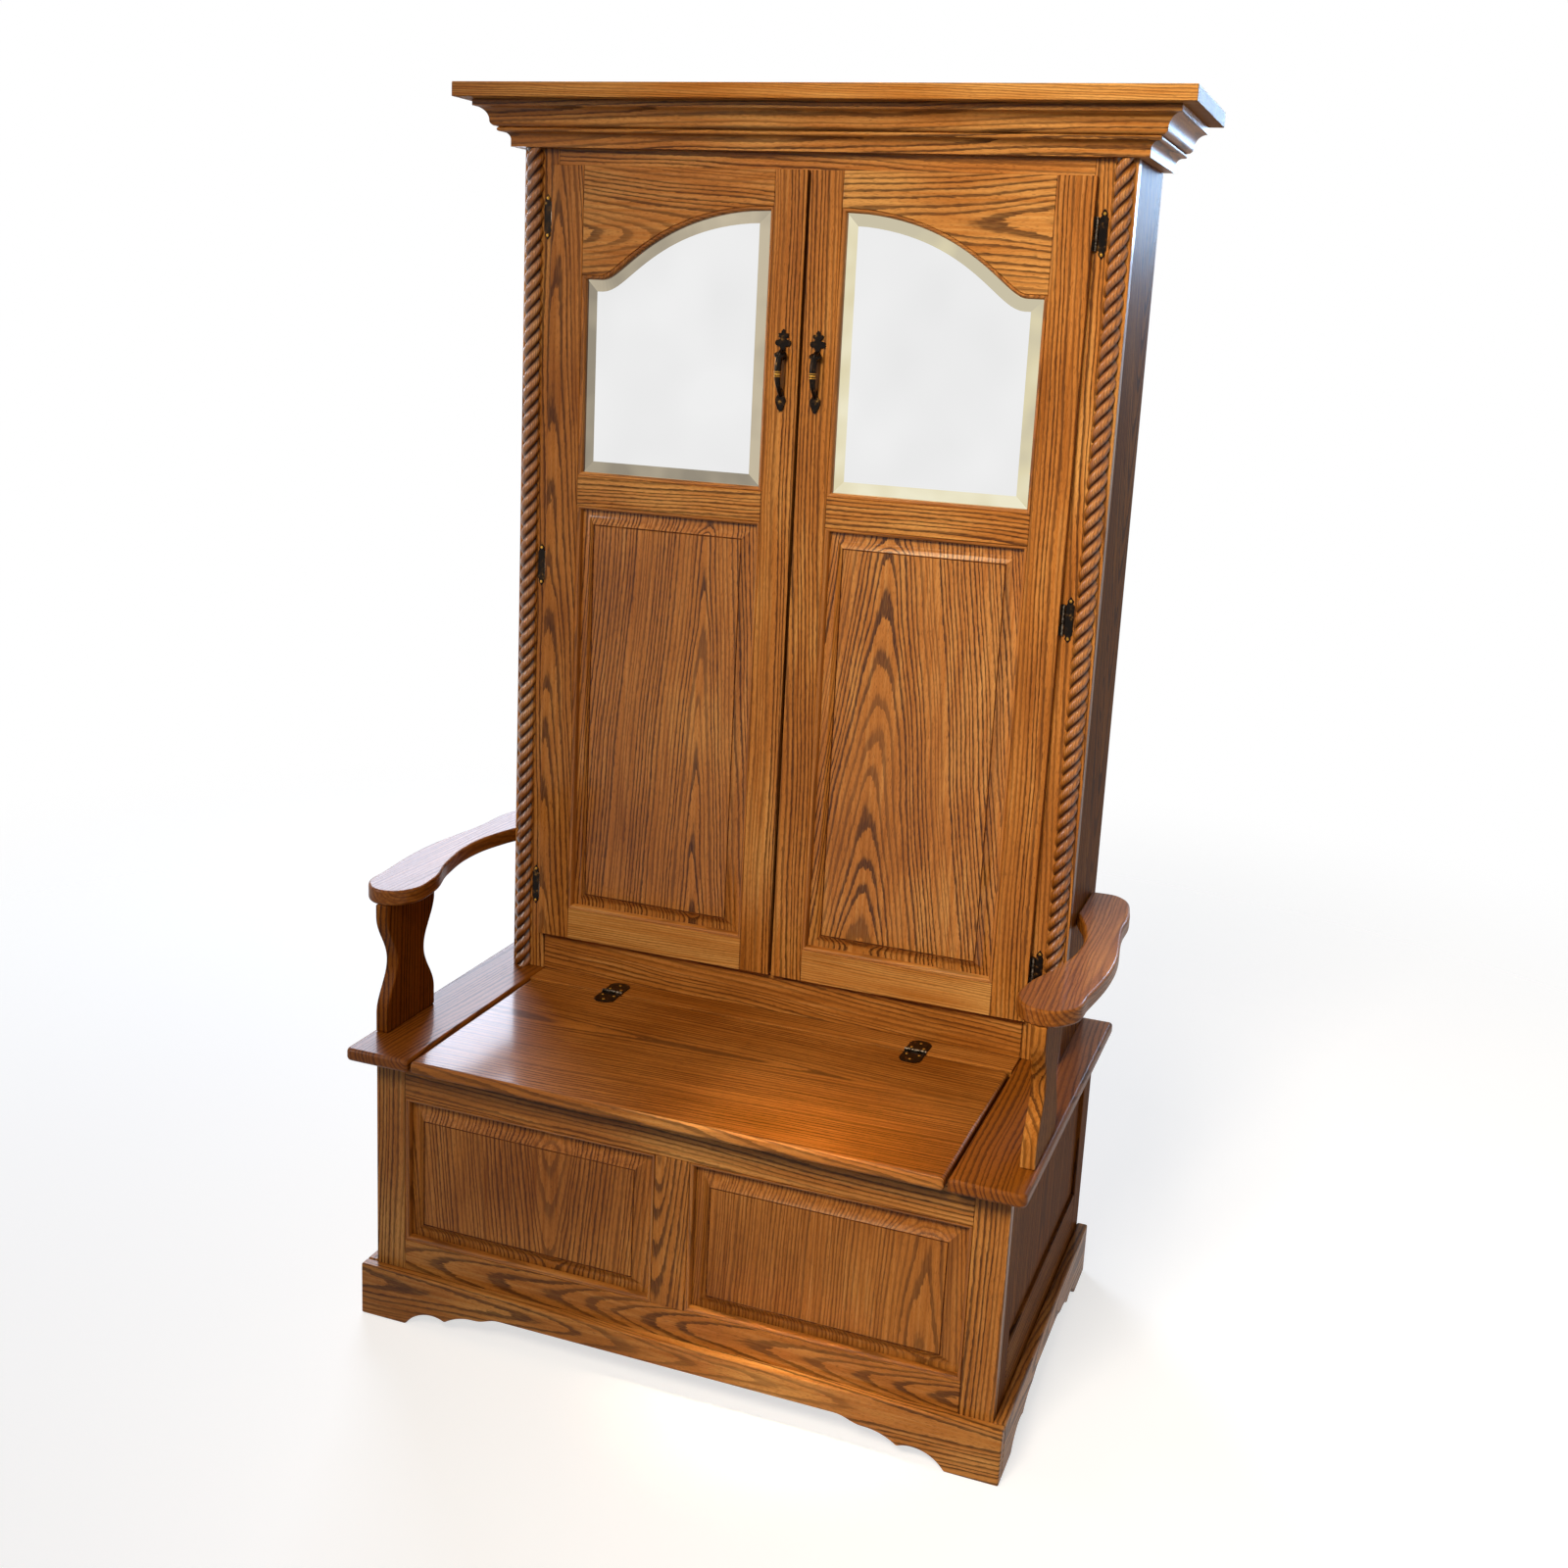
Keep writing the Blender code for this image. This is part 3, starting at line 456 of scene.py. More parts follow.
        # Stain and painted shade in the hollows between carved strands, fading out towards the crests
        x, y, hollow, crest = core
        around = add(tree, "VectorMath SUBTRACT", (place, (x, y, 0)))
        around = add(tree, "VectorMath MULTIPLY", (around, (1, 1, 0)))
        away = add(tree, "VectorMath LENGTH", (around,), out="Value")
        left = add(tree, "MapRange", {"Value": away, "From Min": hollow, "From Max": crest,
                                      "To Min": HOLLOW_SHADE_AND_STAIN / strength, "To Max": 0.0})
        dark = add(tree, "Math MAXIMUM", (dark, left))
    shade = add(tree, "Math MULTIPLY_ADD", (layers["fibre"], TONE_SHARE, tone))
    shade = add(tree, "Math MULTIPLY_ADD", (layers["cloud"], TONE_SHARE, shade))
    wood = add(tree, "ValToRGB", {"Fac": shade}, GOLDEN_STAIN)
    amount = add(tree, "Math MULTIPLY", (dark, strength))
    colour = add(tree, "Mix", {"Factor": amount, 6: wood, 7: linear(PORE_STAIN)}, out=2, data_type="RGBA")
    wire(tree, shader, {
        "Base Color": colour,
        "Roughness": add(tree, "MapRange", {"Value": dark, "To Min": rough, "To Max": rough + PORE_ROUGH}),
        "Normal": add(tree, "Bump", {"Height": dark, "Strength": PORE_BUMP, "Distance": PORE_DEPTH},
                      invert=True),
        "IOR": LACQUER_IOR,
        "Specular IOR Level": level,
        "Coat Weight": coat,
        "Coat Roughness": coat_rough,
    })
    return look


def mottled(name, scale, detail, stops, rough, sockets):
    """A material that changes in patches or streaks, so many to a metre each way, over a ramp of colours.

    Its roughness is one value, or two that it changes between with its colour.
    """
    look, tree, shader = blank(name)
    place = add(tree, "TexCoord", out="Object")
    spread = add(tree, "Mapping", {"Vector": place, "Scale": scale})
    patch = add(tree, "TexNoise", {"Vector": spread, "Scale": 1, "Detail": detail})
    if isinstance(rough, tuple):
        rough = add(tree, "MapRange", {"Value": patch, "To Min": rough[0], "To Max": rough[1]})
    colour = add(tree, "ValToRGB", {"Fac": patch}, stops)
    wire(tree, shader, {"Base Color": colour, "Roughness": rough, **sockets})
    return look


# Dark brown in the quirk round a raised field, in streaks about 8 mm long
STAIN = mottled("dark_brown_in_panel_quirk", (120, 120, 120), 2, [(0.35, "#3f1d08"), (0.65, "#6b3a14")], 0.55,
                {"IOR": LACQUER_IOR, "Specular IOR Level": 0.1})
# Oil-rubbed bronze: a near-black patina with warmer metal in patches about 8 mm across where hands rub it,
# and wax over it, which gives black metal its small bright glints
BRONZE = mottled("oil_rubbed_bronze", (130, 130, 130), 3,
                 [(0.48, "#17100a"), (0.62, "#2d1d0e"), (0.76, "#96692c")], (0.42, 0.26),
                 {"Metallic": 1.0, "Coat Weight": 0.15, "Coat Roughness": 0.2})
# Bronze rubbed bright on a hinge's barrel, with the patina left in streaks about 3 mm apart;
# its light metal is also a painted highlight that stands in for the barrel's glint
WORN_BRONZE_GLINT = mottled("worn_bronze_painted_glint", (330, 330, 330), 2, [(0.38, "#2b221a"), (0.62, "#8a7b68")], 0.3,
               {"Metallic": 1.0})
# Polished brass with faint rub marks about 2 mm apart
BRASS = mottled("polished_brass", (500, 500, 500), 2, [(0.3, "#9c6b22"), (0.7, "#d9a548")], 0.28,
                {"Metallic": 1.0})
# Mirror glass: a silvered face, a little uneven in tone over some 120 mm as old plate is
MIRROR_ROUGH = 0.03
MIRROR = mottled("silvered_plate_glass", (8, 8, 8), 1, [(0.3, "#e9e9e9"), (0.7, "#efefef")], MIRROR_ROUGH,
                 {"Metallic": 1.0})
# Painted reflection on the ground edge of mirror glass: faint waves of the grinding, about 60 mm long, and a
# shift of its tone
GRINDING_WAVES = 16
WAVE_SHARE = 0.8
FACET_REFLECTION_SHIFT = 0.10


def painted_bevel_reflection(name, lean, stops):
    """Painted reflection on the ground edge of mirror glass: each of its facets shows another part of the
    room, so its painted tone changes with the way the facet leans."""
    look, tree, shader = blank(name)
    normal = add(tree, "TexCoord", out="Normal")
    facet = add(tree, "VectorMath DOT_PRODUCT", (normal, lean), out="Value")
    place = normal.node.outputs["Object"]
    wave = add(tree, "TexNoise", {"Vector": place, "Scale": GRINDING_WAVES, "Detail": 1})
    tone = add(tree, "Math MULTIPLY_ADD", (wave, WAVE_SHARE, facet))
    tone = add(tree, "Math ADD", (tone, FACET_REFLECTION_SHIFT))
    colour = add(tree, "ValToRGB", {"Fac": tone}, stops)
    wire(tree, shader, {"Base Color": colour, "Metallic": 1.0, "Roughness": MIRROR_ROUGH})
    return look


# Painted reflection colours of the mirror bevels, for the left and the right door
BEVEL = {
    -1: painted_bevel_reflection("mirror_bevel_painted_reflection_left", (4.0, 0.0, 2.5), [(0.25, "#958c7c"), (0.75, "#c4b89f")]),
    1: painted_bevel_reflection("mirror_bevel_painted_reflection_right", (-1.5, 0.0, -4.0),
                    [(0.22, "#c9c0a6"), (0.45, "#ded4b0"), (0.80, "#eee8cc")]),
}
# Grey protective paint on the back of mirror glass, brushed on thinly in strokes about 3 mm wide
BACKING = mottled("mirror_backing_paint", (300, 300, 12), 2, [(0.3, "#6d6f70"), (0.7, "#85888a")], 0.7, {})


# Plain boards
SEAT_ROUND = 6 * MM
SEAT_CORNER = 10 * MM
# Heart of a board's wood: distance to the side and behind in mm, lean and taper
LID_HEART = (50, 24, 0.02, 0.05)


def dress(piece, node, grain, figure="straight", tone=0.0, body="carcass", slot="oak", **wood):
    """Finish a piece that stands for one solid, with a piece of oak of its own."""
    look = oak(grain, middle(*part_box(node)), figure, tone, **wood)
    return finish(piece, body, [look], [node])


def solid_board(node, grain, figure="straight", tone=0.0, width=EASE, **others):
    """A board the size of its solid, with eased edges."""
    piece = ease(block(node + "_board", *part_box(node)), width)
    return dress(piece, node, grain, figure, tone, **others)


def plain_boards():
    """Boards that are straight all along: frame members, seat boards, cabinet walls and the top."""
    for side, name in SIDES:
        solid_board("chest_stile_" + name, "ZY", tone=0.10 if side < 0 else -0.03)
        solid_board("hutch_side_" + name, "ZX", "arched", tone=-0.15, stave=0.13, sheen="matt")
        solid_board("hutch_stile_" + name, "ZY")
    solid_board("chest_muntin", "ZY", "arched")
    solid_board("chest_rail_top", "XY")
    solid_board("chest_rail_bottom", "XY", "arched")
    solid_board("hutch_rail_top", "XY", tone=0.06)
    solid_board("hutch_rail_bottom", "XY", "lid")
    solid_board("seat_board_rear", "XZ", "seat", tone=-0.1, stave=0.140)
    solid_board("top_board", "XZ", "fine", tone=0.12, sheen="matt")
    lid = solid_board("lid", "XZ", "lid", tone=-0.13, width=SEAT_ROUND, sheen="rubbed", heart=LID_HEART,
                      body="lid")
    # Its front-facing faces get a lighter oak than its top, as painted light on the rounded front edge
    lid.data.materials.append(oak("XZ", middle(*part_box("lid")), "calm", tone=-0.04))
    for face in lid.data.polygons:
        face.material_index = 1 if face.normal.y < -0.5 else 0
    solid_board("hutch_back", "ZY", "arched", tone=0.12, stave=0.230, slot="oak_ply")
    solid_board("chest_back", "XY", "arched", tone=0.12, slot="oak_ply")
    solid_board("chest_floor", "XZ", "arched", tone=0.12, stave=0.200, slot="oak_ply")


def seat_boards():
    """Fixed seat boards beside the lid, with rounded outer front corners."""
    for side, name in SIDES:
        low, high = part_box("seat_board_" + name)
        board = block(f"seat_{name}_board", low, high)
        corner_x = high.x if side > 0 else low.x
        choose(board, "EDGE", lambda point: abs(point.x - corner_x) < SEAM and point.y < low.y + SEAM)
        bpy.ops.mesh.bevel(offset=SEAT_CORNER, segments=5)
        ease(board, SEAT_ROUND, 4)
        dress(board, "seat_board_" + name, "YZ", "lid", tone=-0.34)


# Framed panels
# Moulded inner edge of a frame: thickness of its blank, width, and each step's width and depth in mm
STICKING_BLANK = 2 * MM
STICKING_W = 7 * MM
STICKING_STEPS = ((0.5, -1.0), (0.6, 0.7), (1.6, -0.3), (1.8, -1.0), (1.4, -2.2), (0.8, -7.6))
# Raised panel: flat border, hollow in steps up to its slope, and the quirk's widths and depths
PANEL_BORDER = STICKING_W + 3 * MM
PANEL_STEPS = 6
PANEL_SLOPE = math.radians(40)
QUIRK = ((1.0 * MM, -1.5 * MM), (1.0 * MM, 1.1 * MM))


def moulding_woods(stile_at, rail_at):
    """Fine oak for the upright and the level mouldings of a frame."""
    places = (("ZY", stile_at), ("XY", rail_at))
    return [oak(grain, place, "fine", tone=-0.05, sheen="rubbed") for grain, place in places]


def sticking(name, loop, front_y, body, looks):
    """Moulded inner edge of a frame: a quirk, an ovolo and a drop, mitred at its corners."""
    back_y = front_y + STICKING_BLANK
    ring = plate(name, loop, "front", front_y, back_y)
    choose(ring, "FACE", lambda point: point.y < (front_y + back_y) / 2)
    for width, depth in STICKING_STEPS:
        bpy.ops.mesh.inset(thickness=width * MM, depth=depth * MM)
    bpy.ops.mesh.delete(type="FACE")
    choose(ring, "FACE", lambda point: abs(point.y - back_y) < NEAR)
    bpy.ops.mesh.delete(type="FACE")
    bpy.ops.mesh.select_mode(type="EDGE")
    bpy.ops.mesh.select_non_manifold()
    bpy.ops.mesh.bridge_edge_loops()
    bpy.ops.mesh.select_all(action="SELECT")
    bpy.ops.mesh.normals_make_consistent(inside=False)
    only(ring)
    bpy.ops.object.shade_smooth_by_angle(angle=MOULDING_SMOOTH)
    xs = [u for u, _ in loop]
    zs = [v for _, v in loop]
    for face in ring.data.polygons:
        to_side = min(face.center.x - min(xs), max(xs) - face.center.x)
        to_rail = min(face.center.z - min(zs), max(zs) - face.center.z)
        face.material_index = 0 if to_side < to_rail else 1
    finish(ring, body, looks)


def raised_panel(name, node, front_y, relief, body, look):
    """A panel with a flat border, a hollow, a steep ramp and a quirk round its field.

    Its relief is how far it lies behind the frame's front, then the widths of the hollow and the ramp.
    """
    sunk, hollow, ramp = relief
    low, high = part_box(node)
    front = front_y + sunk
    panel = block(name, (low.x, front, low.z), high)
    choose(panel, "FACE", lambda point: point.y < front + SEAM)
    bpy.ops.mesh.inset(thickness=PANEL_BORDER)
    radius = hollow / math.sin(PANEL_SLOPE)
    sweep = [PANEL_SLOPE * i / PANEL_STEPS for i in range(PANEL_STEPS + 1)]
    for near, far in zip(sweep, sweep[1:]):
        bpy.ops.mesh.inset(thickness=radius * (math.sin(far) - math.sin(near)),
                           depth=radius * (math.cos(near) - math.cos(far)))
    bpy.ops.mesh.inset(thickness=ramp, depth=ramp * math.tan(PANEL_SLOPE))
    for width, depth in QUIRK:
        bpy.ops.mesh.inset(thickness=width, depth=depth)
    only(panel)
    bpy.ops.object.shade_smooth_by_angle(angle=PANEL_SMOOTH)
    # Faces of the quirk take the dark brown material
    quirk = PANEL_BORDER + hollow + ramp
    for face in panel.data.polygons:
        to_edge = min(face.center.x - low.x, high.x - face.center.x,
                      face.center.z - low.z, high.z - face.center.z)
        stained = quirk < to_edge < quirk + sum(width for width, _ in QUIRK)
        face.material_index = 1 if stained else 0
    finish(panel, body, [look, STAIN], [node])


# Chest
CHEST_RELIEF = (13 * MM, 15 * MM, 7 * MM)
CHEST_WOOD_AT = ((0.4, -0.28, 0.25), (0.2, -0.28, 0.3))
# Figure, tone and heart of each raised panel's wood
CHEST_PANEL_WOOD = {
    -1: ("arched", -0.05, (-40, 26, 0.02, -0.09)),
    1: ("calm", -0.04, (-150, 50, 0.02, 0.06)),
}
# Flat panel of a side: its opening, and how far it lies from the frame's inner and outer faces
SIDE_PANEL_Y = (-0.214, 0.265)
SIDE_PANEL_Z = (0.167, 0.380)
SIDE_PANEL_SUNK = (4 * MM, 6 * MM)
SIDE_FRAME_EASE = 2 * MM
SIDE_STAVE = 0.16


def chest_front():
    """Moulded edges and raised panels of the chest front."""
    woods = moulding_woods(*CHEST_WOOD_AT)
    front_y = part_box("chest_rail_bottom")[0].y
    for side, name in SIDES:
        node = "chest_panel_" + name
        low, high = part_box(node)
        loop = rectangle((low.x, high.x), (low.z, high.z))
        sticking(f"chest_sticking_{name}", loop, front_y, "carcass", woods)
        figure, tone, heart = CHEST_PANEL_WOOD[side]
        look = oak("ZY", middle(low, high), figure, tone, heart=heart)
        raised_panel(f"chest_field_{name}", node, front_y, CHEST_RELIEF, "carcass", look)


def chest_sides():
    """Side frames with a flat sunk panel: two stiles, two rails and the panel."""
    between_y = (SIDE_PANEL_Y[0] + SEAM, SIDE_PANEL_Y[1] - SEAM)
    between_z = (SIDE_PANEL_Z[0] + SEAM, SIDE_PANEL_Z[1] - SEAM)
    for side, name in SIDES:
        low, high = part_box("chest_side_" + name)
        outer = high.x if side > 0 else -low.x
        inner = outer - (high.x - low.x)
        x = sided(side, inner, outer)
        sunk = sided(side, inner + SIDE_PANEL_SUNK[0], outer - SIDE_PANEL_SUNK[1])
        boards = {
            "front_stile": (x, (low.y, SIDE_PANEL_Y[0]), (low.z, high.z), "ZX"),
            "rear_stile": (x, (SIDE_PANEL_Y[1], high.y), (low.z, high.z), "ZX"),
            "top_rail": (x, between_y, (SIDE_PANEL_Z[1], high.z), "YX"),
            "bottom_rail": (x, between_y, (low.z, SIDE_PANEL_Z[0]), "YX"),
            "panel": (sunk, between_y, between_z, "ZX"),
        }
        for part, (xs, ys, zs, grain) in boards.items():
            corners = list(zip(xs, ys, zs))
            panel = part == "panel"
            piece = block(f"chest_side_{name}_{part}", *corners)
            ease(piece, EASE if panel else SIDE_FRAME_EASE)
            look = oak(grain, middle(*corners), "arched" if panel else "straight", tone=-0.18,
                       stave=SIDE_STAVE if panel else None, sheen="matt")
            finish(piece, "carcass", [look], ["chest_side_" + name] if panel else [])


# Base skirt: distances from a foot's end, and heights
SKIRT_H = 86 * MM
SKIRT_ROUND = 3 * MM
APRON_Z = 46 * MM
FOOT_LEN = 79 * MM
LOWER_LOBE = (127 * MM, 25 * MM)
CUSP = (149 * MM, 20 * MM)
UPPER_LOBE = (200 * MM, 36.5 * MM)
APRON_START = 245 * MM
APRON_HANDLE = 20 * MM
FOOT_STEPS, TAIL_STEPS, LOBE_STEPS, RISE_STEPS = 12, 6, 10, 8


def crest_arc(crest, end, steps):
    """Points from the end of a lobe to its crest, on the circle that is level at the crest."""
    reach = end[0] - crest[0]
    drop = crest[1] - end[1]
    radius = (reach * reach + drop * drop) / (2 * drop)
    xs = [end[0] - reach * i / steps for i in range(steps + 1)]
    return [(x, crest[1] - radius + math.sqrt(radius * radius - (x - crest[0]) ** 2)) for x in xs]


def bracket(end):
    """Underside of a skirt board from its end to the apron, as place and height."""
    foot = crest_arc((-LOWER_LOBE[0], LOWER_LOBE[1]), (-FOOT_LEN, 0.0), FOOT_STEPS)
    tail = crest_arc(LOWER_LOBE, CUSP, TAIL_STEPS)
    upper = crest_arc((-UPPER_LOBE[0], UPPER_LOBE[1]), (-CUSP[0], CUSP[1]), LOBE_STEPS)
    rise = bezier(upper[-1], (-UPPER_LOBE[0] - APRON_HANDLE, UPPER_LOBE[1]),
                  (-APRON_START + APRON_HANDLE, APRON_Z), (-APRON_START, APRON_Z), RISE_STEPS)
    path = [(0.0, 0.0)] + foot + [(-d, z) for d, z in reversed(tail)][1:-1] + upper + rise[1:]
    return [(end + d, z) for d, z in path]


def skirts():
    """Base boards with bracket feet and rounded top edges."""
    low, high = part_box("skirt_front")
    front_y = low.y
    half = bracket(high.x)
    loop = half + [(-x, z) for x, z in reversed(half)] + [(low.x, SKIRT_H), (high.x, SKIRT_H)]
    board = ease(plate("skirt_front_board", loop, "front", low.y, high.y), SKIRT_ROUND, 4)
    dress(board, "skirt_front", "XY", "arched", tone=0.05)
    for _, name in SIDES:
        low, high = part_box("skirt_" + name)
        front_half = [(low.y, 0.0)] + [(front_y - d, z) for d, z in bracket(0.0)[1:]]
        loop = bracket(high.y) + list(reversed(front_half)) + [(low.y, SKIRT_H), (high.y, SKIRT_H)]
        board = ease(plate(f"skirt_{name}_board", loop, "side", low.x, high.x), SKIRT_ROUND, 4)
        dress(board, "skirt_" + name, "YX", "arched")


# Arms: outline of the right one in plan, between its two ends on the hutch
ARM_ROUND = 7 * MM
ARM_WALL_Y = (0.168, 0.285)
ARM_OUTLINE = [
    (0.497, 0.108), (0.509, 0.025), (0.494, -0.078), (0.468, -0.165), (0.473, -0.229), (0.508, -0.251),
    (0.546, -0.226), (0.557, -0.165), (0.5676, -0.020), (0.553, 0.120), (0.549, 0.212), (0.522, 0.280),
]
# Waist of a post: its lower and upper end, and its depth behind and in front
WAIST_Z = (0.487, 0.645)
WAIST_BACK = 31 * MM
WAIST_FRONT = 29 * MM
WAIST_STEPS = 30
POST_ROUND = 2.5 * MM
# Tone of each post's oak: the left post is darker, as painted shade
POST_TONES_WITH_PAINTED_SHADE = {-1: -0.21, 1: -0.01}


def arms():
    """S-shaped arm boards with rounded edges, on waisted posts."""
    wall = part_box("hutch_side_right")[1].x + SEAM
    outline = [(wall, ARM_WALL_Y[0])] + ARM_OUTLINE + [(wall, ARM_WALL_Y[1])]
    turns = [i / WAIST_STEPS for i in range(WAIST_STEPS + 1)]
    waist_z = [WAIST_Z[0] + (WAIST_Z[1] - WAIST_Z[0]) * t for t in turns]
    depth = [(1 - math.cos(2 * math.pi * t)) / 2 for t in turns]
    for side, name in SIDES:
        low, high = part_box("arm_" + name)
        board = plate(f"arm_{name}_board", mirrored(side, outline), "plan", low.z, high.z, smooth=True)
        ease(board, ARM_ROUND, 5)
        dress(board, "arm_" + name, "YZ", "seat", tone=-0.15)
        low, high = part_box("arm_post_" + name)
        post = [(high.y, low.z)] + [(high.y - WAIST_BACK * d, z) for d, z in zip(depth, waist_z)]
        post += [(high.y, high.z), (low.y, high.z)]
        post += [(low.y + WAIST_FRONT * d, z) for d, z in zip(reversed(depth), reversed(waist_z))]
        post += [(low.y, low.z)]
        board = ease(plate(f"arm_post_{name}_board", post, "side", low.x, high.x), POST_ROUND, 4)
        dress(board, "arm_post_" + name, "ZX", tone=POST_TONES_WITH_PAINTED_SHADE[side], sheen="matt")


# Rope columns: strands, length of one turn, and how far below the crests the stain and painted shade in the
# hollows begin and end
ROPE_STRANDS = 3
ROPE_LEAD = 67 * MM
ROPE_POINTS = 60
ROPE_TURN_STEPS = 26
ROPE_SMOOTH = math.radians(40)
STRAND_OFFSET = 6.5 * MM
ROPE_HOLLOW = (4.2 * MM, 0.6 * MM)


def rope_columns():
    """Half columns carved as a laid rope: a lobed section, twisted up its length, cut flat at the back."""
    part = 2 * math.pi / ROPE_STRANDS
    for _, name in SIDES:
        low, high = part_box("rope_column_" + name)
        centre_x = (low.x + high.x) / 2
        radius = (high.x - low.x) / 2
        strand = radius - STRAND_OFFSET
        height = high.z - low.z
        only(None)
        bpy.ops.mesh.primitive_circle_add(vertices=ROPE_POINTS, radius=radius)
        rope = bpy.context.object
        for vertex in rope.data.vertices:
            angle = math.atan2(vertex.co.y, vertex.co.x)
            off = (angle % part) - part / 2
            reach = STRAND_OFFSET * math.cos(off)
            reach += math.sqrt(strand ** 2 - (STRAND_OFFSET * math.sin(off)) ** 2)
            vertex.co = (reach * math.cos(angle), reach * math.sin(angle), 0)
        lay = rope.modifiers.new("lay", "SCREW")
        lay.angle = 2 * math.pi * height / ROPE_LEAD
        lay.screw_offset = height
        lay.steps = int(ROPE_TURN_STEPS * height / ROPE_LEAD)
        lay.render_steps = lay.steps
        lay.use_merge_vertices = False
        bpy.ops.object.modifier_apply(modifier=lay.name)
        rope.location = (centre_x, high.y, low.z)
        settle()
        for end in (low.z, high.z):
            choose(rope, "EDGE", lambda point: abs(point.z - end) < MERGE)
            bpy.ops.mesh.edge_face_add()
        bpy.ops.mesh.select_all(action="SELECT")
        bpy.ops.mesh.normals_make_consistent(inside=False)
        bpy.ops.mesh.bisect(plane_co=(0, high.y, 0), plane_no=(0, 1, 0), use_fill=True, clear_outer=True)
        only(rope)
        bpy.ops.object.shade_smooth_by_angle(angle=ROPE_SMOOTH)
        rope.name = f"rope_{name}_carving"
        # Stain and painted shade darken the hollows between the strands
        core = (centre_x, high.y, radius - ROPE_HOLLOW[0], radius - ROPE_HOLLOW[1])
        dress(rope, "rope_column_" + name, "ZY", "fine", tone=-0.05, core=core, sheen="carved")


# Cornice: foot of the crown's section, then its cove, bead and ovolo as centre and radius in mm, angles and
# steps, and the upper cove that ends at the crown's full reach
CROWN_FOOT = 16.5 * MM
CROWN_ARCS = ((27.0, 10.5, 10.5, 180, 90, 10), (29.5, 24.2, 3.2, -90, 90, 8), (33.0, 36.0, 8.0, -90, 0, 8))
UPPER_COVE_Z = 36.0 * MM
UPPER_COVE_RADIUS = 19.0 * MM
UPPER_COVE_STEPS = 14


def crown_section(bottom, top, reach):
    """Section of the crown moulding as reach from the cabinet and height."""
    section = [(0.0, 0.0), (CROWN_FOOT, 0.0)]
    for out, up, radius, start, end, steps in CROWN_ARCS:
        section += arc((out * MM, up * MM), radius * MM, start, end, steps)
    section += arc((reach, UPPER_COVE_Z), UPPER_COVE_RADIUS, 180, 90, UPPER_COVE_STEPS)[1:]
    return [(s, bottom + z) for s, z in section] + [(reach, top), (0.0, top)]


def mitre(piece, axis, centre, ends, reach):
    """Slope the given ends of a straight moulding: each point there moves out by its own reach."""
    for vertex in piece.data.vertices:
        for end in ends:
            if end * (vertex.co[axis] - centre) > 0:
                vertex.co[axis] += end * reach(vertex.co)
    only(piece)
    bpy.ops.object.shade_smooth_by_angle(angle=MOULDING_SMOOTH)


def cornice():
    """Crown moulding, mitred at the front corners."""
    low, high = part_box("crown_front")
    face_y = high.y
    reach = high.y - low.y
    section = crown_section(low.z, high.z, reach)
    half = high.x - reach
    front = plate("crown_front_moulding", [(face_y - s, z) for s, z in section], "side", -half, half)
    mitre(front, 0, 0.0, (-1, 1), lambda point: face_y - point.y)
    dress(front, "crown_front", "XY", tone=0.05)
    for side, name in SIDES:
        low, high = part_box("crown_" + name)
        face_x = min(abs(low.x), abs(high.x))
        loop = [(side * (face_x + s), z) for s, z in section]
        moulding = plate(f"crown_{name}_moulding", loop, "front", face_y, high.y)
        mitre(moulding, 1, (face_y + high.y) / 2, (-1,), lambda point: abs(point.x) - face_x)
        dress(moulding, "crown_" + name, "YX", sheen="waxed")


# Doors: layout on the right half
DOOR_OPENING_X = (0.053, 0.366)
DOOR_PANEL_Z = (0.577, 1.2555)
DOOR_RELIEF = (11.5 * MM, 12 * MM, 6 * MM)
DOOR_WOOD_AT = ((0.2, 0.1, 0.9), (0.2, 0.1, 1.3))
DOOR_HEART = {-1: (-66, 15, 0.0, 0.065), 1: (58, 40, 0.03, 0.14)}
DOOR_STILES = {-1: ("arched", -0.03), 1: ("straight", -0.01)}
# Part of a door that enters the cabinet's opening, and an end beyond any board for the rebates round it
TONGUE_X = 0.413
TONGUE_Z = (0.533, 1.765)
BEYOND = 2.0
MIRROR_BOTTOM = 1.302
MIRROR_GAP = 1 * MM
MIRROR_BEVEL = 17 * MM
BEVEL_DEPTH = 1.2 * MM
ARCH_SHOULDER = (0.335, 1.6115)
ARCH_CREST_Z = 1.7220
ARCH_HANDLES = (0.030, 0.190)
ARCH_STEPS = 28
CREST_CLEAR = 26 * MM


def arch_line(margin=0.0):
    """Arch of the right door's mirror from its shoulder to its crest, drawn in by a margin."""
    shoulder = (ARCH_SHOULDER[0] - margin / 2, ARCH_SHOULDER[1] - margin)
    crest = (DOOR_OPENING_X[0] + margin, ARCH_CREST_Z - margin)
    line = bezier(shoulder, (shoulder[0] - ARCH_HANDLES[0], shoulder[1]),
                  (crest[0] + ARCH_HANDLES[1], crest[1]), crest, ARCH_STEPS)
    return [point for point in line if point[0] > crest[0] + CREST_CLEAR] + [crest]


def mirror_loop(margin=0.0):
    """Outline of the mirror opening of the right door, drawn in by a margin."""
    inner, outer = DOOR_OPENING_X[0] + margin, DOOR_OPENING_X[1] - margin
    arch = arch_line(margin)
    return [(inner, MIRROR_BOTTOM + margin), (outer, MIRROR_BOTTOM + margin), (outer, arch[0][1])] + arch


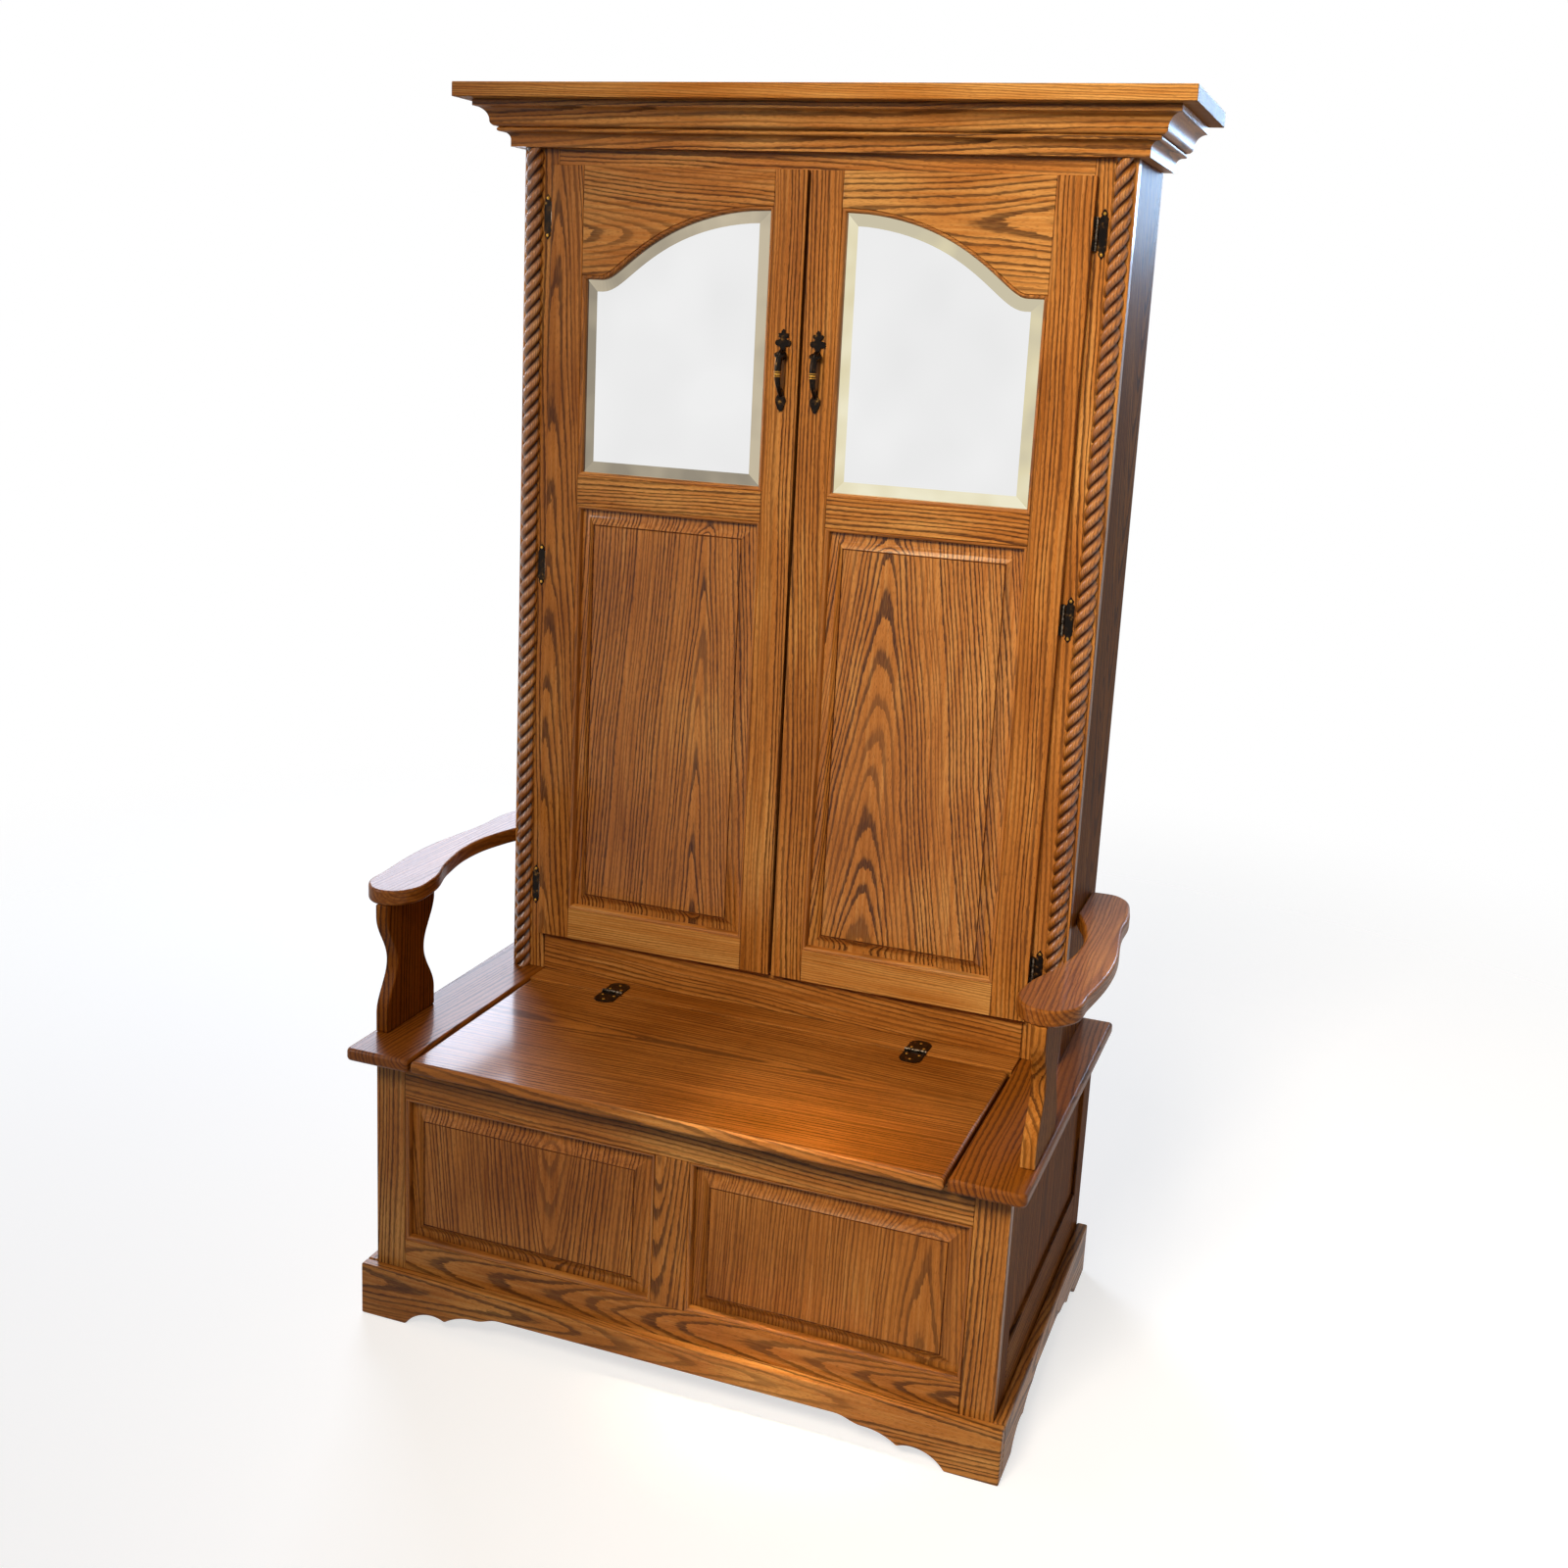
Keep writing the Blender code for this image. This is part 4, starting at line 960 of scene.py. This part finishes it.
def door_boards(side, name):
    """Stiles and rails of a door, rebated where they enter the cabinet's opening."""
    low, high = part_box(name + "_frame")
    outer, inner = (high.x, low.x) if side > 0 else (-low.x, -high.x)
    lip_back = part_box("hutch_stile_right")[0].y - SEAM
    open_x = DOOR_OPENING_X
    rail_x = (open_x[0] + SEAM, open_x[1] - SEAM)
    figure, shade = DOOR_STILES[side]
    boards = {
        "outer_stile": ((open_x[1], outer), (low.z, high.z), "ZY", figure, shade),
        "inner_stile": ((inner, open_x[0]), (low.z, high.z), "ZY", "straight", shade),
        "bottom_rail": (rail_x, (low.z, DOOR_PANEL_Z[0]), "XY", "fine", 0.14),
        "middle_rail": (rail_x, (DOOR_PANEL_Z[1], MIRROR_BOTTOM), "XY", "straight", 0.08 - 0.03 * side),
        "top_rail": (rail_x, (ARCH_SHOULDER[1], high.z), "XY", "arched", 0.08 + 0.03 * side),
    }
    for part, (xs, zs, grain, figure, tone) in boards.items():
        xs = sided(side, *xs)
        corners = [(xs[0], low.y, zs[0]), (xs[1], high.y, zs[1])]
        title = f"{name}_{part}"
        if part == "top_rail":
            arch = arch_line()
            arch[-1] = (rail_x[0], arch[-1][1])
            loop = [(rail_x[1], high.z), (rail_x[1], ARCH_SHOULDER[1])] + arch + [(rail_x[0], high.z)]
            board = plate(title, mirrored(side, loop), "front", low.y, high.y)
        else:
            board = block(title, *corners)
        if zs[1] == high.z:
            cut(board, (-BEYOND, lip_back, TONGUE_Z[1]), (BEYOND, BEYOND, BEYOND))
        if zs[0] == low.z:
            cut(board, (-BEYOND, lip_back, 0), (BEYOND, BEYOND, TONGUE_Z[0]))
        if part == "outer_stile":
            strip = sided(side, TONGUE_X, BEYOND)
            cut(board, (strip[0], lip_back, 0), (strip[1], BEYOND, BEYOND))
        ease(board)
        look = oak(grain, middle(*corners), figure, tone)
        finish(board, name, [look], [name + "_frame"] if part == "outer_stile" else [])


def doors():
    """Frames, mouldings, mirrors and raised panels of the two doors."""
    for side, door in SIDES:
        name = door + "_door"
        door_boards(side, name)
        front_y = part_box(name + "_frame")[0].y
        woods = moulding_woods(*[(side * x, y, z) for x, y, z in DOOR_WOOD_AT])
        panel_loop = rectangle(DOOR_OPENING_X, DOOR_PANEL_Z)
        sticking(name + "_panel_sticking", mirrored(side, panel_loop), front_y, name, woods)
        sticking(name + "_mirror_sticking", mirrored(side, mirror_loop()), front_y, name, woods)
        node = name + "_panel"
        look = oak("ZY", middle(*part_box(node)), "bold", tone=0.02 * side, sheen="rubbed",
                   heart=DOOR_HEART[side])
        raised_panel(name + "_field", node, front_y, DOOR_RELIEF, name, look)
        low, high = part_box(name + "_mirror")
        glass = plate(name + "_glass", mirrored(side, mirror_loop(MIRROR_GAP)), "front", low.y, high.y)
        choose(glass, "FACE", lambda point: point.y < low.y + SEAM)
        bpy.ops.mesh.inset(thickness=STICKING_W - MIRROR_GAP)
        bpy.ops.mesh.inset(thickness=MIRROR_BEVEL, depth=BEVEL_DEPTH)
        only(glass)
        bpy.ops.object.shade_flat()
        # Bevel faces take the painted bevel reflection, the flat front the mirror and the back the backing
        # paint
        face_front = min(vertex.co.y for vertex in glass.data.vertices)
        for face in glass.data.polygons:
            flat = face.center.y < face_front + SEAM / 2
            face.material_index = 2 if face.normal.y > 0.5 else (0 if flat else 1)
        finish(glass, name, [MIRROR, BEVEL[side], BACKING], [name + "_mirror"])


# Fittings: sizes shared by all hinges
BARREL_RADIUS = 2.7 * MM
BARREL_EASE = 0.5 * MM
LEAF_THICK = 1.6 * MM
LINK_INSET = 0.6 * MM
LINK_LAP = 1 * MM
SCREW_RADIUS = 2.6 * MM


def painted(piece, look):
    """A shape with its only material."""
    piece.data.materials.append(look)
    return piece


def dome(centre, thick, normal):
    """A round brass screw head."""
    only(None)
    bpy.ops.mesh.primitive_uv_sphere_add(segments=16, ring_count=8, radius=SCREW_RADIUS)
    head = bpy.context.object
    head.scale = [thick / SCREW_RADIUS if axis == normal else 1 for axis in range(3)]
    head.location = centre
    settle()
    bpy.ops.object.shade_smooth()
    return painted(head, BRASS)


def barrel(centre, length, axis):
    """A hinge knuckle with eased rims."""
    only(None)
    turn = (0, math.pi / 2, 0) if axis == 0 else (0, 0, 0)
    bpy.ops.mesh.primitive_cylinder_add(vertices=24, radius=BARREL_RADIUS, depth=length, location=centre,
                                        rotation=turn)
    # Light worn bronze: wear and a painted highlight along the knuckle
    return painted(ease(settle(), BARREL_EASE, 2), WORN_BRONZE_GLINT)


# Door hinges: half the middle knuckle, a leaf's shoulder and tip in mm, its screws, and the door's wings
KNUCKLE_HALF = 7.7 * MM
LEAF_EASE = 0.5 * MM
LEAF_SHOULDER = 21
LEAF_TIP = ((-4.2, 24.5), (-4.8, 28), (0, 34.5), (4.8, 28), (4.2, 24.5))
LEAF_SCREW_Z = 28 * MM
LEAF_SCREW_RISE = 1.2 * MM
LINK_Y = (1.5 * MM, 0.1 * MM)
LINK_HALF = 7 * MM
WING_END = 23 * MM
WING_BACK = 2 * MM
WING_EASE = 0.4 * MM


def door_hinges():
    """Barrel hinges with a leaf on the face frame and a leaf on the door's edge."""
    for side, door in SIDES:
        joint = next(j for j in frame["joints"] if j["child"] == door + "_door")
        axis_x, axis_y = joint["pos_m"][0], joint["pos_m"][1]
        leaf_x = abs(axis_x) + BARREL_RADIUS + SEAM
        tab = sided(side, abs(axis_x) + LINK_INSET, leaf_x + LINK_LAP)
        edge_x = sided(side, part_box("right_door_frame")[1].x + SEAM, abs(axis_x) - BARREL_RADIUS + LINK_LAP)
        for level in ("top", "middle", "bottom"):
            name = f"{door}_{level}"
            low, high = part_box("frame_leaf_" + name)
            z = (low.z + high.z) / 2
            outer = high.x if side > 0 else -low.x
            centre = (leaf_x + outer) / 2
            tip = [(leaf_x, LEAF_SHOULDER)] + [(centre + u * MM, v) for u, v in LEAF_TIP]
            tip += [(outer, LEAF_SHOULDER)]
            loop = [(u, z + v * MM) for u, v in tip] + [(u, z - v * MM) for u, v in reversed(tip)]
            face_y = high.y - LEAF_THICK
            leaf = plate("leaf", mirrored(side, loop), "front", face_y, high.y)
            shapes = [painted(ease(leaf, LEAF_EASE, 2), BRONZE)]
            link = block("link", (tab[0], high.y - LINK_Y[0], z - LINK_HALF),
                         (tab[1], high.y - LINK_Y[1], z + LINK_HALF))
            shapes.append(painted(link, BRONZE))
            shapes.append(barrel((axis_x, axis_y, z), 2 * KNUCKLE_HALF, 2))
            for screw_z in (-LEAF_SCREW_Z, LEAF_SCREW_Z):
                shapes.append(dome((side * centre, face_y, z + screw_z), LEAF_SCREW_RISE, 1))
            hinge = join(f"hinge_{name}_frame_side", shapes)
            finish(hinge, "carcass", [], ["frame_leaf_" + name])
            low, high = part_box("door_leaf_" + name)
            near = KNUCKLE_HALF + SEAM
            shapes = []
            for end in (-1, 1):
                zs = sorted((z + end * near, z + end * WING_END))
                wing = block("wing", (edge_x[0], low.y, zs[0]), (edge_x[1], high.y - WING_BACK, zs[1]))
                shapes.append(painted(ease(wing, WING_EASE, 2), BRONZE))
                shapes.append(barrel((axis_x, axis_y, (zs[0] + zs[1]) / 2), WING_END - near, 2))
            hinge = join(f"hinge_{name}_door_side", shapes)
            finish(hinge, door + "_door", [], ["door_leaf_" + name])


# Lid hinges: a leaf's length, rounding and taper, its screws in mm, and each part's knuckles
LID_LEAF_REACH = 43 * MM
LID_LEAF_CORNER = 15 * MM
LID_LEAF_TAPER = 1 * MM
LID_LEAF_EASE = 0.6 * MM
LID_SCREWS = ((-10, 14), (10, 14), (0, 32))
LID_SCREW_RISE = 1.0 * MM
LID_KNUCKLE_X = 12.6 * MM
# part, body, way it points, places of its knuckles and half their length
LID_PARTS = (("fixed", "carcass", 1, (0,), 6.6 * MM), ("moving", "lid", -1, (-1, 1), 5.2 * MM))


def lid_hinges():
    """Butterfly hinges on the seat: rounded leaves with three screws each."""
    joint = next(j for j in frame["joints"] if j["child"] == "lid")
    axis_y, axis_z = joint["pos_m"][1], joint["pos_m"][2]
    start = BARREL_RADIUS + SEAM
    bend = LID_LEAF_REACH - LID_LEAF_CORNER
    for _, name in SIDES:
        for part, body, way, places, half_len in LID_PARTS:
            node = f"lid_hinge_{part}_{name}"
            low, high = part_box(node)
            x = (low.x + high.x) / 2
            width = (high.x - low.x) / 2
            flare = [(-width + LID_LEAF_TAPER, start), (-width, bend)]
            flare += arc((-width + LID_LEAF_CORNER, bend), LID_LEAF_CORNER, 180, 90, 8)[1:]
            half = flare + [(-u, v) for u, v in reversed(flare)]
            loop = [(x + u, axis_y + way * v) for u, v in half]
            top = low.z + LEAF_THICK
            shapes = [painted(ease(plate("leaf", loop, "plan", low.z, top), LID_LEAF_EASE, 2), BRONZE)]
            ys = sorted((axis_y + way * LINK_INSET, axis_y + way * (start + LINK_LAP)))
            for place in places:
                mid = x + place * LID_KNUCKLE_X
                shapes.append(barrel((mid, axis_y, axis_z), 2 * half_len, 0))
                ends = (mid - half_len + SEAM, mid + half_len - SEAM)
                link = block("link", (ends[0], ys[0], low.z), (ends[1], ys[1], top))
                shapes.append(painted(link, BRONZE))
            for u, v in LID_SCREWS:
                shapes.append(dome((x + u * MM, axis_y + way * v * MM, top), LID_SCREW_RISE, 2))
            finish(join(node + "_leaf", shapes), body, [], [node])


# Door pulls, in mm: half outlines of the two leaves as reach to the side and height
TREFOIL = [(0.0, 1546), (3.2, 1542.4), (3.0, 1540.6), (7.6, 1539), (7.4, 1534.6), (4.0, 1532.4),
           (11.4, 1528.6), (11.2, 1522.6), (5.0, 1520.6), (3.8, 1517), (5.5, 1506), (0.0, 1500)]
SPADE = [(0.0, 1460), (3.4, 1457), (4.0, 1450.5), (8.0, 1442.5), (6.2, 1433.5), (0.0, 1425)]
PULL_LEAF_THICK = 3.6 * MM
PULL_LEAF_EASE = 1.3 * MM
# Grip: height, distance from the door and radius
GRIP = ((1512, 1, 4.2), (1511, 8, 4.6), (1506, 13, 5.2), (1497, 17, 5.2), (1488, 18.6, 5.0),
        (1478, 18.6, 4.8), (1468, 16.4, 4.3), (1459, 11, 3.7), (1452, 5, 3.5), (1448, 1, 3.4))
GRIP_LIFT = 1
GRIP_STEPS = 8
GRIP_ROUND = 6
# Collar: a disc round the top of the grip, its upper face turned a little forward
COLLAR_RADIUS = 9.4 * MM
COLLAR_THICK = 4.4 * MM
COLLAR_OUT = 11.5 * MM
COLLAR_Z = 1508.5 * MM
COLLAR_TILT = math.radians(22)
COLLAR_EASE = 1.6 * MM
# Band: a brass ring between two brass ribs, as height, thickness and outer radius
BAND_OUT = 19.7 * MM
BANDS = ((1480, 3.6, 5.6), (1483.4, 1.5, 6.2), (1476.6, 1.5, 6.2))


def tube(name, points):
    """A bar whose points are place and radius, as a rounded tube."""
    data = bpy.data.curves.new(name, "CURVE")
    data.dimensions = "3D"
    data.bevel_depth = 1.0
    data.bevel_resolution = GRIP_ROUND
    data.use_fill_caps = True
    data.resolution_u = GRIP_STEPS
    spline = data.splines.new("BEZIER")
    spline.bezier_points.add(len(points) - 1)
    for knot, (place, radius) in zip(spline.bezier_points, points):
        knot.co = place
        knot.radius = radius
        knot.handle_left_type = "AUTO"
        knot.handle_right_type = "AUTO"
    piece = curve_mesh(name, data)
    bpy.ops.object.shade_smooth()
    return piece


def handles():
    """Pulls with a trefoil above, a swelling grip with a brass band, and a spade below."""
    for _, door in SIDES:
        name = door + "_door"
        low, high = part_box(name + "_handle")
        x = (low.x + high.x) / 2
        back = high.y
        shapes = []
        for half in (TREFOIL, SPADE):
            loop = [(x + u * MM, z * MM) for u, z in half]
            loop += [(x - u * MM, z * MM) for u, z in reversed(half[1:-1])]
            leaf = plate("leaf", loop, "front", back - PULL_LEAF_THICK, back, smooth=True)
            shapes.append(painted(ease(leaf, PULL_LEAF_EASE, 3), BRONZE))
        only(None)
        bpy.ops.mesh.primitive_cylinder_add(
            vertices=32, radius=COLLAR_RADIUS, depth=COLLAR_THICK,
            location=(x, back - COLLAR_OUT, COLLAR_Z), rotation=(COLLAR_TILT, 0, 0))
        shapes.append(painted(ease(settle(), COLLAR_EASE, 4), BRONZE))
        points = [((x, back - (GRIP_LIFT + out) * MM, z * MM), radius * MM) for z, out, radius in GRIP]
        shapes.append(painted(tube("grip", points), BRONZE))
        for z, thick, outer in BANDS:
            only(None)
            bpy.ops.mesh.primitive_torus_add(
                major_segments=28, minor_segments=10, location=(x, back - BAND_OUT, z * MM),
                major_radius=(outer - thick / 2) * MM, minor_radius=thick / 2 * MM)
            ring = settle()
            bpy.ops.object.shade_smooth()
            shapes.append(painted(ring, BRASS))
        finish(join(name + "_pull", shapes), name, [], [name + "_handle"])


# Stage, light and camera


def seen_rays(tree):
    """One for rays that the picture is seen by, also by way of a mirror, and nought for the rest."""
    rays = add(tree, "LightPath").node.outputs
    seen = rays["Is Camera Ray"]
    for kind in ("Is Glossy Ray", "Is Transmission Ray"):
        seen = add(tree, "Math MAXIMUM", (seen, rays[kind]))
    return seen


def floor():
    """Pale floor that fades out into the white surround, so that no edge of it shows."""
    only(None)
    bpy.ops.mesh.primitive_circle_add(vertices=96, radius=FLOOR_REACH[1], fill_type="NGON",
                                      location=(0, 0, -FLOOR_DROP))
    ground = bpy.context.object
    ground.name = "studio_floor"
    look, tree, shader = blank("pale_studio_floor")
    place = add(tree, "TexCoord", out="Object")
    away = add(tree, "VectorMath LENGTH", (place,), out="Value")
    fade = {"From Min": FLOOR_REACH[0], "From Max": FLOOR_REACH[1], "To Min": 1.0, "To Max": 0.0}
    cover = add(tree, "MapRange", {"Value": away, **fade}, interpolation_type="SMOOTHSTEP")
    wire(tree, shader, {
        "Base Color": linear("#b4b4b4"),
        "Roughness": FLOOR_ROUGH,
        "Emission Color": WHITE,
        "Emission Strength": add(tree, "Math MULTIPLY", (seen_rays(tree), FLOOR_LIFT)),
        "Alpha": cover,
    })
    ground.data.materials.append(look)


def studio():
    """White surround, soft lamps and the photograph's camera."""
    scene = bpy.context.scene
    scene.view_settings.view_transform = "Standard"
    world = bpy.data.worlds.new("white_surround")
    scene.world = world
    world.use_nodes = True
    tree = world.node_tree
    level = add(tree, "MapRange", {"Value": seen_rays(tree), "To Min": AMBIENT, "To Max": 1.0})
    wire(tree, tree.nodes["Background"], {"Color": WHITE, "Strength": level})

    for name, place, aim, size, spread, power, colour in LAMPS:
        lamp = bpy.data.lights.new(name, "AREA")
        lamp.shape = "RECTANGLE"
        lamp.size, lamp.size_y = size
        lamp.spread = math.radians(spread)
        lamp.energy = power
        lamp.color = linear(colour)[:3]
        holder = bpy.data.objects.new(name + "_softbox", lamp)
        holder.location = place
        holder.rotation_euler = (Vector(aim) - Vector(place)).to_track_quat("-Z", "Y").to_euler()
        # Lamps stay out of the picture, the key lamp out of mirrors, and the sheen panel only gives gloss
        holder.visible_camera = False
        holder.visible_glossy = name != "key"
        holder.visible_diffuse = name != "sheen_panel"
        scene.collection.objects.link(holder)

    lens = bpy.data.cameras.new("photograph")
    lens.sensor_width = SENSOR_MM
    lens.lens = FOCAL_PIXELS / PHOTO_SIDE * SENSOR_MM
    lens.shift_y = (AXIS_PIXEL_Y - PHOTO_SIDE / 2) / PHOTO_SIDE
    camera = bpy.data.objects.new("photograph_camera", lens)
    turn = Matrix.Rotation(CAMERA_YAW, 3, "Z") @ Matrix.Rotation(math.pi / 2 - CAMERA_PITCH, 3, "X")
    turn = turn @ Matrix.Rotation(CAMERA_ROLL, 3, "Z")
    camera.rotation_euler = turn.to_euler()
    camera.location = CAMERA_AT
    scene.collection.objects.link(camera)
    scene.camera = camera


plain_boards()
seat_boards()
chest_front()
chest_sides()
skirts()
arms()
rope_columns()
cornice()
doors()
door_hinges()
lid_hinges()
handles()
floor()
studio()

only(None)
